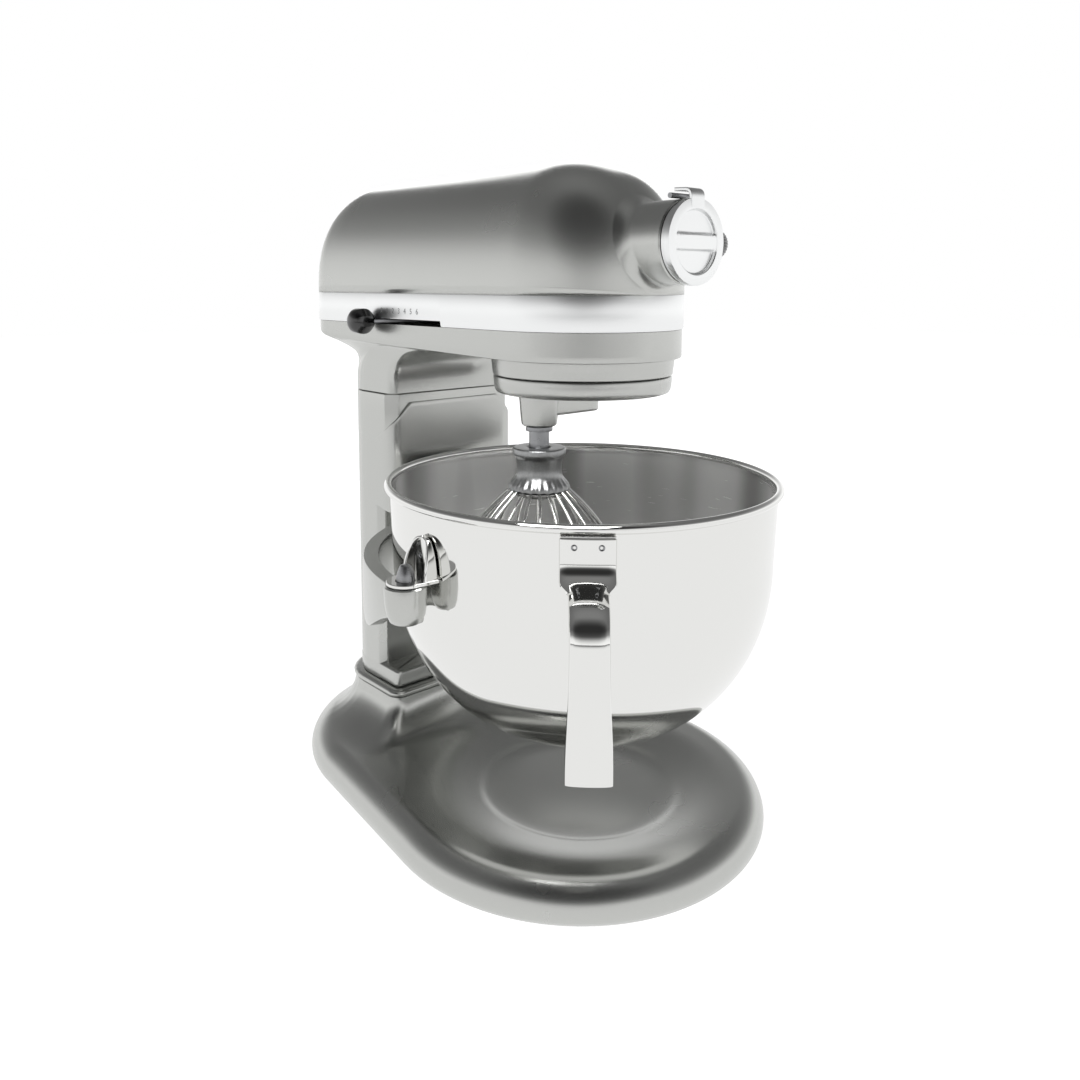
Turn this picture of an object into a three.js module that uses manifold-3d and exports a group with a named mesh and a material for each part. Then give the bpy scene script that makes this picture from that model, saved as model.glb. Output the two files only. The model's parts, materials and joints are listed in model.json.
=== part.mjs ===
// A bowl-lift stand mixer with a wire whisk, in millimetres, +Z up, front towards -Y.
// Each piece is its own closed solid. The pieces are laid out around the planetary axis,
// and the whole group is then moved so that the origin is under the middle of the mixer.
import * as THREE from "three";
import { mergeVertices } from "three/addons/utils/BufferGeometryUtils.js";
import Module from "manifold-3d";

// ---- Driving sizes ----
const GAP = 0.4; // clearance between pieces that touch
const WALL = 3; // wall of the head castings
const FAR = 400; // beyond the whole mixer, for shapes that cut a region away

const HEAD_HALF_WIDTH = 61.3; // also the radius of the round front, centred on the planetary axis
const HEAD_REAR = 234; // from the planetary axis to the back of the head
const HEAD_TOP = 419;
const HEAD_CORNER = 25; // rear corners of the head, seen from above
const HEAD_REAR_EDGE = 43; // rounding from the top of the head into its back
const HEAD_APEX = 4; // where the front dome starts
const HEAD_SECTION = 2.5; // roundness of the head across: 2 is an ellipse, more is squarer
const HEAD_DOME = 2.15; // the same for the front dome, seen from the side
const COVER_SEAM = HEAD_REAR - 12; // joint between the motor housing and the end cover

const VENT_Z = 348; // lowest of the air slots
const COVER_SCREW_Z = 332;

const BAND_BOTTOM = 319.1;
const BAND_HEIGHT = 20.5;
const BAND_THICK = 1.2;

const CASE_BOTTOM = 303; // underside of the head
const CASE_FLOOR = 3.5;
const RING_STEP = 302; // where the lower ring of the gear case starts
const RING_RADIUS = 55.8;
const DRIP_TOP = 291;
const DRIP_BOTTOM = 280;

const BOWL_RADIUS = 119.7; // outside, under the rim
const NECK_HALF = 55; // half width of the neck and the column
const NECK_FRONT = BOWL_RADIUS + 10.3; // the column stands just behind the bowl
const COLUMN_FRONT = NECK_FRONT + 16;
const COLUMN_REAR = COLUMN_FRONT + 49;
const FOOT_FRONT = NECK_FRONT - 3; // the foot of the column reaches further forward
const NECK_BOTTOM = 270;
const NECK_STRAIGHT = 287; // the neck flares out above this height
const COLUMN_CORNER = 30;
const COLUMN_BOTTOM = 60;
const COLUMN_WALL = 4.5;
const FOOT_HEIGHT = 12;
const PLATE_BOTTOM = 186;
const PLATE_TOP = 262;
const PLATE_CHAMFER = 18;
const PLATE_PROUD = 3; // how far the plate's face lies behind the neck's front
const GLAND_RADIUS = 6; // cord inlet in the back of the column
const GLAND_BORE = 3.6;
const GLAND_Z = 240;
const SCREW_HOLE = 3.5; // the four screws that hold the column on the base
const SCREW_FLOOR = 8; // thickness of the base under the column

const BASE_FRONT_RADIUS = 124;
const BASE_FRONT_Y = 9;
const BASE_REAR_RADIUS = 111;
const BASE_REAR_Y = COLUMN_REAR - 72.5;
const BASE_BOTTOM = 4;
const BASE_TOP = 29;
const BASE_WALL = 5;
const DISH_RADIUS = 92;
const DISH_DEPTH = 7;
const FOOT_RADIUS = 11;
const FEET = [[0, -88], [-88, 6], [88, 6], [-66, COLUMN_REAR - 7], [66, COLUMN_REAR - 7]];
const FEET_NAMES = ["foot_front", "foot_mid_left", "foot_mid_right", "foot_rear_left", "foot_rear_right"];
const SCREWS = [
  [-40, NECK_FRONT + 8],
  [40, NECK_FRONT + 8],
  [-28, COLUMN_REAR - 13],
  [28, COLUMN_REAR - 13],
];
const WIRE_WAY = 10; // half size of the opening for the wires between the base and the column

const BOWL_WAIST = BOWL_RADIUS - 2; // outside, where the round bottom starts
const BOWL_WAIST_Z = 181.6;
const BOWL_RIM_Z = 226.6;
const BOWL_BOTTOM = 63.2;
const BOWL_WALL = 1.2;
const BOWL_ROUND = 2.15; // roundness of the bottom: 2 is an ellipse, more is squarer
const RIM_BEAD = 2.9;
const LIFT_TRAVEL = 36;

const PIN_REACH = BOWL_RADIUS + 13.3; // locating pins, from the bowl's axis
const PIN_RADIUS = 5;
const PIN_HEIGHT = 11;
const PAD_TOP = 185;
const PAD_HEIGHT = 21;
const PAD_RADIUS = 12;
const YOKE_INNER = BOWL_RADIUS + 5.9;
const YOKE_OUTER = BOWL_RADIUS + 16.7;
const YOKE_TOP = 182;
const YOKE_BOTTOM = 141;
const YOKE_BLOCK = 42; // half width of the block behind the bowl
const TONGUE = 13; // half width of the tongue that slides in the column's slot
const SLOT_BOTTOM = YOKE_BOTTOM - LIFT_TRAVEL - 6;
const REAR_PIN = 3;
const REAR_PIN_Z = YOKE_TOP + 6;
const SPRING_HALF = 11; // half width of the spring that holds the rear pin
const SPRING_Y = YOKE_INNER + 1.4;
const EAR_THICK = 2;
const EAR_REACH = BOWL_RADIUS + 23.8;
const EAR_HOOD = 22; // height of the ear above its flange

const HANDLE_ANGLE = -45; // degrees from the front, towards -X
const HANDLE_WIDTH = 20;
const HANDLE_BOTTOM = 110;
const HANDLE_REACH = BOWL_RADIUS + 42.3;
const HANDLE_THICK = 3;

const BEATER_OFFSET = 35.8; // planetary axis to beater axis
const BEATER_RADIUS = 6;
const BEATER_BOTTOM = 236;
const BOSS_BOTTOM = 262;
const ARM_BOTTOM = 268;
const CARRIER_RADIUS = 47;
const CENTRE_SHAFT = 7;
const WHISK_WIRES = 11;
const WHISK_RADIUS = 60;
const WHISK_WIDEST = 160;
const WHISK_BOTTOM = 88;
const WHISK_TOP = 249;
const WHISK_HUB = 25; // height of the whisk's hub
const PIN_Z = WHISK_TOP - 3; // cross pin of the beater shaft
const WIRE = 2.2;

const HUB_Z = 368.6;
const HUB_RADIUS = 20.6;
const HUB_FRONT = -HEAD_HALF_WIDTH - 18.7;
const HUB_INNER = HUB_FRONT + 34; // inner end of the barrel
const HUB_BORE = 12.8;
const HUB_CAP = 6.9;
const HINGE_Z = HUB_Z + HUB_RADIUS + 4.3;
const HINGE_Y = HUB_FRONT + 4;
const HINGE_HOLE = 1.9;
const STRAP = 5.5; // half width of the cover's hinge strap
const KNOB_RADIUS = 9;
const KNOB_LENGTH = 17;
const KNOB_Y = HUB_FRONT + 10;

const LEVER_Z = 320.6; // speed lever
const LEVER_PIVOT_X = 20;
const LEVER_PIVOT_Y = 104.5;
const LEVER_REST_Y = 140;
const LEVER_THICK = 1.8;
const SLOT_FRONT = 64; // the lever's slot in the band and the housing
const SLOT_REAR = 152;

const RING_TEETH = 35;
const BEATER_TEETH = 7;
const CENTRE_TEETH = 24;
const CENTRE_PITCH = 40;
const WORM_PINION_TEETH = 8;
const WORM_TEETH = 20;
const WORM_GEAR_PITCH = 22;
const BEVEL_PITCH = 37;
const BEVEL_TEETH = 20;
const HUB_TEETH = 12;
const MOTOR_Z = 365;
const WORM_SIDE = 28; // worm shaft to motor axis
const SHAFT_RADIUS = 4;
const FIELD_RADIUS = 38;
const FIELD_FRONT = 130;
const FIELD_LENGTH = 44;
const FIELD_REAR = FIELD_FRONT + FIELD_LENGTH;
const CORE_RADIUS = 24;
const COMMUTATOR = [182, 197]; // from its front to its back
const COMMUTATOR_RADIUS = 13;
const BULKHEAD = [71, 76]; // wall that carries the front motor bearing, front to back
const BRACKET = [206, 211]; // plate that carries the rear motor bearing
const BEARING_RADIUS = 14;
const MOTOR_BEARING = BEARING_RADIUS - 3;
const WORM_SHAFT = 5;
const BEVEL_FACE = 10;
const CENTRE_GEAR_Z = 330;

const LIFT_Y = COLUMN_FRONT + 22; // lift shaft inside the column
const LIFT_Z = 140;
const LEVER_LENGTH = 62;
const LEVER_X = NECK_HALF + 8; // the lift lever, beside the column
const LIFT_SHAFT = 6;
const SPIGOT = 4; // the lift lever's end, inside its knob

// ---- Colours ----
const CASTING = { color: 0xa9aaa8, roughness: 0.38, metalness: 0.75 };
const POLISHED = { color: 0xd8d8d6, roughness: 0.12, metalness: 1 };
const STEEL = { color: 0x8f9092, roughness: 0.35, metalness: 1 };
const SILVER = { color: 0xd5d6d6, roughness: 0.3, metalness: 0.9 };
const BLACK = { color: 0x151515, roughness: 0.35, metalness: 0 };
const RUBBER = { color: 0x202020, roughness: 0.85, metalness: 0 };
const BRONZE = { color: 0x8c6a3f, roughness: 0.4, metalness: 1 };
const COPPER = { color: 0xa5603a, roughness: 0.4, metalness: 1 };
const BOARD = { color: 0x2f5d3a, roughness: 0.6, metalness: 0 };

// ---- Solids and booleans ----
const wasm = await Module();
wasm.setup();

// A closed geometry as a solid, turned the right way out.
function solid(geometry) {
  const loose = geometry.index ? geometry.toNonIndexed() : geometry;
  const bare = new THREE.BufferGeometry();
  bare.setAttribute("position", loose.getAttribute("position").clone());
  const merged = mergeVertices(bare, 1e-4);
  const faces = [];
  for (let i = 0; i < merged.index.count; i += 3) {
    const [a, b, c] = merged.index.array.subarray(i, i + 3);
    if (a !== b && b !== c && c !== a) faces.push(a, b, c);
  }
  const build = (list) =>
    new wasm.Manifold(
      new wasm.Mesh({
        numProp: 3,
        vertProperties: new Float32Array(merged.attributes.position.array),
        triVerts: new Uint32Array(list),
      }),
    );
  const made = build(faces);
  return made.volume() < 0 ? build(faces.reverse()) : made;
}

const join = (first, ...rest) => rest.reduce((sum, next) => sum.add(next), first);
const cut = (first, ...rest) => rest.reduce((left, next) => left.subtract(next), first);

function geometryOf(shape) {
  const mesh = shape.getMesh();
  const geometry = new THREE.BufferGeometry();
  geometry.setAttribute("position", new THREE.BufferAttribute(new Float32Array(mesh.vertProperties), 3));
  geometry.setIndex(new THREE.BufferAttribute(new Uint32Array(mesh.triVerts), 1));
  geometry.computeVertexNormals();
  return geometry;
}

// A box from its low corner to its high corner.
function box(x0, x1, y0, y1, z0, z1) {
  const geometry = new THREE.BoxGeometry(x1 - x0, y1 - y0, z1 - z0);
  return solid(geometry.translate((x0 + x1) / 2, (y0 + y1) / 2, (z0 + z1) / 2));
}

// A solid of revolution about the vertical line through (x, y); the profile is a list of [radius, height].
function turned(profile, x = 0, y = 0, sides = 20) {
  const points = profile.map(([r, z]) => new THREE.Vector2(Math.max(r, 0), z));
  const geometry = new THREE.LatheGeometry(points, sides);
  return solid(geometry.rotateX(Math.PI / 2).translate(x, y, 0));
}

const disc = (r, z0, z1, x = 0, y = 0, sides = 20) =>
  turned([[0, z0], [r, z0], [r, z1], [0, z1]], x, y, sides);

// The same two shapes lying along Y (from y0 to y1) and along X.
function discY(r, y0, y1, x, z, sides = 24) {
  const geometry = new THREE.CylinderGeometry(r, r, y1 - y0, sides);
  return solid(geometry.translate(x, (y0 + y1) / 2, z));
}
function discX(r, x0, x1, y, z, sides = 16) {
  const geometry = new THREE.CylinderGeometry(r, r, x1 - x0, sides);
  return solid(geometry.rotateZ(Math.PI / 2).translate((x0 + x1) / 2, y, z));
}

// An outline of [x, y] points raised from z0 to z1.
function prism(outline, z0, z1) {
  const shape = new THREE.Shape(outline.map(([x, y]) => new THREE.Vector2(x, y)));
  const geometry = new THREE.ExtrudeGeometry(shape, { depth: z1 - z0, bevelEnabled: false });
  return solid(geometry.translate(0, 0, z0));
}

// A skin over a row of closed rings that all have the same number of [x, y, z] points, with flat ends.
function loft(rings) {
  const count = rings[0].length;
  const points = rings.flat();
  const faces = [];
  for (let i = 0; i + 1 < rings.length; i += 1) {
    for (let j = 0; j < count; j += 1) {
      const a = i * count + j;
      const b = i * count + ((j + 1) % count);
      faces.push(a, b, b + count, a, b + count, a + count);
    }
  }
  const middle = (ring) => [0, 1, 2].map((k) => ring.reduce((sum, p) => sum + p[k], 0) / ring.length);
  const last = (rings.length - 1) * count;
  points.push(middle(rings[0]), middle(rings[rings.length - 1]));
  for (let j = 0; j < count; j += 1) {
    const next = (j + 1) % count;
    faces.push(points.length - 2, next, j, points.length - 1, last + j, last + next);
  }
  const geometry = new THREE.BufferGeometry();
  geometry.setAttribute("position", new THREE.Float32BufferAttribute(points.flat(), 3));
  geometry.setIndex(faces);
  return solid(geometry);
}

// A tube of `sides` flats along a list of points.
function tube(points, radius, sides, steps) {
  const curve = new THREE.CatmullRomCurve3(points.map((p) => new THREE.Vector3(...p)));
  const section = new THREE.Shape();
  section.absarc(0, 0, radius, 0, 2 * Math.PI);
  const geometry = new THREE.ExtrudeGeometry(section, {
    steps,
    curveSegments: sides,
    extrudePath: curve,
    bevelEnabled: false,
  });
  return solid(geometry);
}

const range = (n) => Array.from({ length: n }, (_, i) => i);
const arc = (cx, cy, r, from, to, n) =>
  range(n + 1).map((i) => {
    const a = THREE.MathUtils.degToRad(from + ((to - from) * i) / n);
    return [cx + r * Math.cos(a), cy + r * Math.sin(a)];
  });

// ---- Outlines seen from above ----
// The head: a half circle in front, straight sides and rounded rear corners.
function headPlan(inset = 0, steps = 16) {
  const half = HEAD_HALF_WIDTH - inset;
  const rear = HEAD_REAR - inset;
  const corner = HEAD_CORNER - inset;
  return [
    ...arc(0, 0, half, 180, 360, steps),
    ...arc(half - corner, rear - corner, corner, 0, 90, 4),
    ...arc(corner - half, rear - corner, corner, 90, 180, 4),
  ];
}

// A rectangle with its own front and rear corner radii.
function blockPlan(half, front, rear, frontCorner, rearCorner) {
  return [
    ...arc(frontCorner - half, front + frontCorner, frontCorner, 180, 270, 2),
    ...arc(half - frontCorner, front + frontCorner, frontCorner, 270, 360, 2),
    ...arc(half - rearCorner, rear - rearCorner, rearCorner, 0, 90, 4),
    ...arc(rearCorner - half, rear - rearCorner, rearCorner, 90, 180, 4),
  ];
}

// The base: two circles of different size and the straight lines that touch both.
function basePlan(inset = 0) {
  const front = BASE_FRONT_RADIUS - inset;
  const rear = BASE_REAR_RADIUS - inset;
  const apart = BASE_REAR_Y - BASE_FRONT_Y;
  const tilt = THREE.MathUtils.radToDeg(Math.asin((front - rear) / apart));
  return [
    ...arc(0, BASE_FRONT_Y, front, 180 - tilt, 360 + tilt, 20),
    ...arc(0, BASE_REAR_Y, rear, tilt, 180 - tilt, 14),
  ];
}

const at = (outline, z) => outline.map(([x, y]) => [x, y, z]);

// ---- Group and materials ----
const mixer = new THREE.Group();
function add(name, shape, look) {
  const mesh = new THREE.Mesh(geometryOf(shape), new THREE.MeshStandardMaterial(look));
  mesh.name = name;
  mixer.add(mesh);
  return mesh;
}

// ---- Base, feet and column ----
// A quarter-circle sweep from 1 at share 0 to 0 at share 1.
const cove = (share) => 1 - Math.sqrt(1 - (1 - share) ** 2);

// The opening for the wires, through the floor of the column.
const wireWay = (z0, z1) => box(-WIRE_WAY - 2, WIRE_WAY + 2, LIFT_Y - WIRE_WAY, LIFT_Y + WIRE_WAY, z0, z1);

function makeBase() {
  const edge = [[9, BASE_BOTTOM], [2.5, 7.5], [0, 14], [2, 21.5], [7, 27], [15, BASE_TOP]];
  const shell = loft(edge.map(([inset, z]) => at(basePlan(inset), z)));
  const flare = range(7).map((i) => {
    const share = i / 6;
    const z = BASE_TOP - 1 + (COLUMN_BOTTOM - GAP - BASE_TOP + 1) * share;
    const out = cove(share);
    const half = NECK_HALF + 4 + 36 * out;
    const front = FOOT_FRONT - 4 - 38 * out;
    const rear = COLUMN_REAR + 4 + 20 * out;
    return at(blockPlan(half, front, rear, 12 + 20 * out, 32 + 22 * out), z);
  });
  const floor = BASE_TOP - DISH_DEPTH;
  const top = BASE_TOP + 1;
  const hollow = [[0, floor], [DISH_RADIUS * 0.6, floor + 0.8], [DISH_RADIUS, top], [0, top]];
  const dish = turned(hollow, 0, 0, 24);
  const inside = loft([
    at(basePlan(9 + BASE_WALL), BASE_BOTTOM - 1),
    at(basePlan(BASE_WALL + 2), 14),
    at(basePlan(BASE_WALL + 12), floor - BASE_WALL),
  ]);
  const under = COLUMN_BOTTOM - SCREW_FLOOR;
  const socket = prism(blockPlan(NECK_HALF - 8, FOOT_FRONT + 6, COLUMN_REAR - 8, 10, 20), 10, under);
  let base = cut(join(shell, loft(flare)), dish, inside, socket);
  for (const [x, y] of FEET) {
    const boss = disc(FOOT_RADIUS + 4, BASE_BOTTOM + 0.5, floor - 2, x, y, 12);
    const pocket = disc(FOOT_RADIUS + 2 * GAP, 0, 8.4, x, y, 12);
    base = cut(join(base, boss), pocket);
  }
  for (const [x, y] of SCREWS) {
    const hole = disc(SCREW_HOLE, 40, COLUMN_BOTTOM + 1, x, y, 12);
    const seat = disc(SCREW_HOLE + 2.9, 30, under, x, y, 12);
    base = cut(base, hole, seat);
  }
  return base.subtract(wireWay(40, COLUMN_BOTTOM + 1));
}

add("base", makeBase(), CASTING);
FEET.forEach(([x, y], i) => {
  const foot = turned([[0, 0], [FOOT_RADIUS - 2, 0], [FOOT_RADIUS, 2], [FOOT_RADIUS, 8], [0, 8]], x, y, 12);
  add(FEET_NAMES[i], foot, RUBBER);
});

function makeColumn() {
  const top = NECK_BOTTOM - GAP;
  const body = prism(blockPlan(NECK_HALF, COLUMN_FRONT, COLUMN_REAR, 4, COLUMN_CORNER), COLUMN_BOTTOM, top);
  const foot = prism(
    blockPlan(NECK_HALF, FOOT_FRONT, COLUMN_REAR, 6, COLUMN_CORNER),
    COLUMN_BOTTOM,
    COLUMN_BOTTOM + FOOT_HEIGHT,
  );
  const collar = prism(
    blockPlan(NECK_HALF, NECK_FRONT, COLUMN_REAR, 7, COLUMN_CORNER),
    PLATE_TOP - PLATE_CHAMFER,
    top,
  );
  const inner = NECK_HALF - COLUMN_WALL;
  const front = COLUMN_FRONT + COLUMN_WALL;
  const room = blockPlan(inner, front, COLUMN_REAR - COLUMN_WALL, 3, COLUMN_CORNER - COLUMN_WALL);
  const hollow = prism(room, COLUMN_BOTTOM + 7, NECK_BOTTOM + 1);
  const slot = box(-TONGUE - 1, TONGUE + 1, FOOT_FRONT, front + 1, SLOT_BOTTOM, PLATE_BOTTOM + 4);
  let column = cut(join(body, foot, collar), hollow, slot, platePrism(GAP));
  column = column.subtract(discX(7, inner - 2, NECK_HALF + 1, LIFT_Y, LIFT_Z));
  column = column.subtract(wireWay(COLUMN_BOTTOM - 1, COLUMN_BOTTOM + 8));
  column = column.subtract(discY(GLAND_RADIUS + GAP, COLUMN_REAR - 12, COLUMN_REAR + 12, 0, GLAND_Z, 16));
  for (const [x, y] of SCREWS) {
    column = column.subtract(disc(SCREW_HOLE, COLUMN_BOTTOM - 1, COLUMN_BOTTOM + 6, x, y, 12));
  }
  return column;
}

// The front plate closes the column's front above the bowl support.
function platePrism(extra) {
  const wider = extra ? 2 : 0;
  const side = NECK_HALF + wider;
  const top = PLATE_TOP + extra;
  const corner = PLATE_CHAMFER;
  const outline = [
    [-side, PLATE_BOTTOM - 3 * extra],
    [side, PLATE_BOTTOM - 3 * extra],
    [side, top - corner - wider],
    [NECK_HALF - corner, top],
    [corner - NECK_HALF, top],
    [-side, top - corner - wider],
  ];
  const shape = new THREE.Shape(outline.map(([x, z]) => new THREE.Vector2(x, z)));
  const front = NECK_FRONT + (extra ? -PLATE_PROUD : PLATE_PROUD);
  const back = COLUMN_FRONT - (extra ? 0 : GAP);
  const geometry = new THREE.ExtrudeGeometry(shape, { depth: back - front, bevelEnabled: false });
  return solid(geometry.rotateX(Math.PI / 2).translate(0, back, 0));
}

add("column", makeColumn(), CASTING);
add("column_front_plate", platePrism(0), CASTING);
SCREWS.forEach(([x, y], i) => {
  const head = COLUMN_BOTTOM - SCREW_FLOOR - GAP;
  const tip = COLUMN_BOTTOM + 5;
  const profile = [[0, 47], [5.5, 47], [5.5, head], [3, head], [3, tip], [0, tip]];
  add("column_screw_" + (i + 1), turned(profile, x, y, 12), STEEL);
});

// ---- Head: housing, end cover, band and gear case ----
// The head above the band: sections across the head, each a flattened arch on straight sides.
function headBody(inset, bottom, steps, stations) {
  const half = HEAD_HALF_WIDTH - inset;
  const rear = HEAD_REAR - inset;
  const corner = HEAD_CORNER - inset;
  const spring = BAND_BOTTOM + BAND_HEIGHT;
  const rise = HEAD_TOP - inset - spring;
  const edge = HEAD_REAR_EDGE - inset;
  const front = range(stations).map((i) => -half * Math.cos((Math.PI / 2) * (i / stations)) * 0.9995);
  const back = range(5).map((i) => {
    const turn = ((i + 0.001) / 4) * (Math.PI / 2);
    return rear - corner + corner * Math.sin(turn) * 0.9995;
  });
  const rings = [...front, 0, rear - edge, ...back].map((y) => {
    const into = Math.max(y - (rear - corner), 0);
    const width = y < 0 ? Math.sqrt(half ** 2 - y ** 2) : half - corner + Math.sqrt(corner ** 2 - into ** 2);
    const fall = Math.max((HEAD_APEX - y) / (HEAD_APEX + half), 0);
    const dome = (1 - fall ** HEAD_DOME) ** (1 / HEAD_DOME);
    const behind = Math.max((y - (rear - edge)) / edge, 0);
    const height = rise * dome - edge * (1 - Math.sqrt(1 - behind ** 2));
    const arch = range(steps + 1).map((i) => {
      const a = (Math.PI * i) / steps;
      const c = Math.cos(a);
      const x = width * Math.sign(c) * Math.abs(c) ** (2 / HEAD_SECTION);
      return [x, y, spring + height * Math.sin(a) ** (2 / HEAD_SECTION)];
    });
    return [[width, y, bottom], ...arch, [-width, y, bottom]];
  });
  return loft(rings);
}

function makeShell() {
  const seat = cut(
    prism(headPlan(-3), BAND_BOTTOM - 2, BAND_BOTTOM + BAND_HEIGHT + GAP),
    prism(headPlan(BAND_THICK + GAP), BAND_BOTTOM - 3, BAND_BOTTOM + BAND_HEIGHT + 1),
  );
  const outside = cut(headBody(0, BAND_BOTTOM + GAP, 16, 6), seat);
  const shell = cut(outside, headBody(WALL + 1.6, BAND_BOTTOM - 1, 10, 4));
  const hubHole = discY(HUB_RADIUS + GAP, HUB_FRONT, -20, 0, HUB_Z);
  return cut(shell, hubHole);
}

const slotSide = -HEAD_HALF_WIDTH - 8.7;
const slotTop = LEVER_Z + LEVER_THICK / 2 + 1.2;
const leverSlot = box(slotSide, slotSide + 30, SLOT_FRONT, SLOT_REAR, BAND_BOTTOM - 1, slotTop);
const shell = makeShell();
const ahead = box(-FAR, FAR, -FAR, COVER_SEAM - GAP / 2, 0, 2 * FAR);
const behind = box(-FAR, FAR, COVER_SEAM + GAP / 2, FAR, 0, 2 * FAR);
add("motor_housing", cut(shell.intersect(ahead), leverSlot), CASTING);

function makeCover() {
  let cover = shell.intersect(behind);
  for (const i of range(5)) {
    const z = VENT_Z + 8 * i;
    cover = cover.subtract(box(-26, 26, COVER_SEAM, HEAD_REAR + 2, z, z + 3));
  }
  const post = discY(6, COVER_SEAM + 1, HEAD_REAR - 2, 0, COVER_SCREW_Z, 16);
  return cut(join(cover, post), discY(2.4, COVER_SEAM - 2, HEAD_REAR + 2, 0, COVER_SCREW_Z, 12));
}
add("end_cover", makeCover(), CASTING);
const coverScrew = join(
  discY(2, COVER_SEAM - 8, HEAD_REAR + 1, 0, COVER_SCREW_Z, 12),
  discY(4, HEAD_REAR + GAP, HEAD_REAR + 2.4, 0, COVER_SCREW_Z, 16),
);
add("end_cover_screw", coverScrew, STEEL);

function makeBand() {
  const outer = prism(headPlan(0, 28), BAND_BOTTOM, BAND_BOTTOM + BAND_HEIGHT);
  const inner = prism(headPlan(BAND_THICK, 28), BAND_BOTTOM - 1, BAND_BOTTOM + BAND_HEIGHT + 1);
  return cut(outer, inner, box(-FAR, FAR, COVER_SEAM - GAP / 2, FAR, 0, FAR), leverSlot);
}
add("trim_band", makeBand(), SILVER);

const beaterX = -BEATER_OFFSET;
const wormShaftX = -WORM_SIDE;
const wormPinionPitch = (CENTRE_PITCH * WORM_PINION_TEETH) / CENTRE_TEETH;
const wormShaftY = Math.sqrt((CENTRE_PITCH + wormPinionPitch) ** 2 - WORM_SIDE ** 2);

function makeGearCase() {
  const top = BAND_BOTTOM - GAP;
  const bowl = prism(headPlan(0), CASE_BOTTOM, top);
  const neck = range(6).map((i) => {
    const share = i / 5;
    const z = CASE_BOTTOM + 1 - (CASE_BOTTOM + 1 - NECK_STRAIGHT + 14) * share;
    const out = cove(share);
    const half = NECK_HALF + (HEAD_HALF_WIDTH - 1 - NECK_HALF) * cove(Math.min(share * 1.8, 1));
    const rear = COLUMN_REAR + (HEAD_REAR - 1 - COLUMN_REAR) * out;
    return at(blockPlan(half, NECK_FRONT - 56 * out, rear, 7, COLUMN_CORNER - 5 * out), z);
  });
  neck.push(at(blockPlan(NECK_HALF, NECK_FRONT, COLUMN_REAR, 7, COLUMN_CORNER), NECK_BOTTOM));
  const profile = [
    [0, DRIP_TOP + GAP],
    [RING_RADIUS - 0.4, DRIP_TOP + GAP],
    [RING_RADIUS, RING_STEP],
    [HEAD_HALF_WIDTH - 1.5, RING_STEP],
    [HEAD_HALF_WIDTH - 0.3, CASE_BOTTOM + 6],
    [0, CASE_BOTTOM + 6],
  ];
  const ring = turned(profile, 0, 0, 32);
  const inside = prism(headPlan(WALL + 1.6, 10), CASE_BOTTOM + CASE_FLOOR, top + 1);
  const neckRoom = blockPlan(
    NECK_HALF - COLUMN_WALL,
    NECK_FRONT + 14,
    COLUMN_REAR - COLUMN_WALL,
    3,
    COLUMN_CORNER - COLUMN_WALL,
  );
  const neckHollow = prism(neckRoom, NECK_BOTTOM - 1, CASE_BOTTOM + CASE_FLOOR + 1);
  const ringSeat = disc(ringGearOuter + GAP, DRIP_TOP - 1, RING_STEP - 0.5, 0, 0, 28);
  const bearingSeat = disc(BEARING_RADIUS + GAP, DRIP_TOP, CASE_BOTTOM + 20, 0, 0, 24);
  const floor = CASE_BOTTOM + CASE_FLOOR - 0.5;
  const boss = disc(BEARING_RADIUS + 4, floor, CASE_BOTTOM + 13, 0, 0, 24);
  const wormBoss = disc(10, floor, CASE_BOTTOM + 16, wormShaftX, wormShaftY, 20);
  const wormHole = disc(WORM_SHAFT + 0.6, CASE_BOTTOM + 4.5, CASE_BOTTOM + 17, wormShaftX, wormShaftY, 16);
  const bulkhead = box(-36, 38, ...BULKHEAD, floor, MOTOR_Z + 18);
  const bearingHole = discY(MOTOR_BEARING + GAP, BULKHEAD[0] - 2, BULKHEAD[1] + 2, 0, MOTOR_Z, 16);
  const cradle = box(-19, 19, FIELD_FRONT + 5, FIELD_REAR - 5, floor, MOTOR_Z - FIELD_RADIUS - GAP);
  const pivot = disc(3, floor, LEVER_Z + 3, LEVER_PIVOT_X, LEVER_PIVOT_Y, 16);
  let gearCase = join(bowl, loft(neck), ring);
  gearCase = cut(gearCase, inside, neckHollow);
  gearCase = join(gearCase, boss, wormBoss, bulkhead, cradle, pivot);
  return cut(gearCase, ringSeat, bearingSeat, wormHole, bearingHole);
}

const ringModule = (2 * BEATER_OFFSET) / (RING_TEETH - BEATER_TEETH);
const ringPitch = (ringModule * RING_TEETH) / 2;
const ringGearOuter = ringPitch + 5.6;

add("gear_case", makeGearCase(), CASTING);

const dripProfile = [
  [CARRIER_RADIUS + 2, DRIP_TOP],
  [CARRIER_RADIUS + 2, DRIP_BOTTOM + 2],
  [CARRIER_RADIUS + 4, DRIP_BOTTOM],
  [RING_RADIUS - 3.5, DRIP_BOTTOM],
  [RING_RADIUS - 1, DRIP_BOTTOM + 3],
  [RING_RADIUS - 0.6, DRIP_TOP - 2],
  [RING_RADIUS - 1.6, DRIP_TOP],
  [CARRIER_RADIUS + 2, DRIP_TOP],
];
add("drip_ring", turned(dripProfile, 0, 0, 28), CASTING);

const gland = join(
  discY(GLAND_RADIUS, COLUMN_REAR - 6, COLUMN_REAR + 1, 0, GLAND_Z, 16),
  discY(GLAND_RADIUS + 2.5, COLUMN_REAR + 0.5, COLUMN_REAR + 4, 0, GLAND_Z, 16),
);
add("cord_gland", cut(gland, discY(GLAND_BORE, COLUMN_REAR - 8, COLUMN_REAR + 6, 0, GLAND_Z, 12)), RUBBER);

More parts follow.
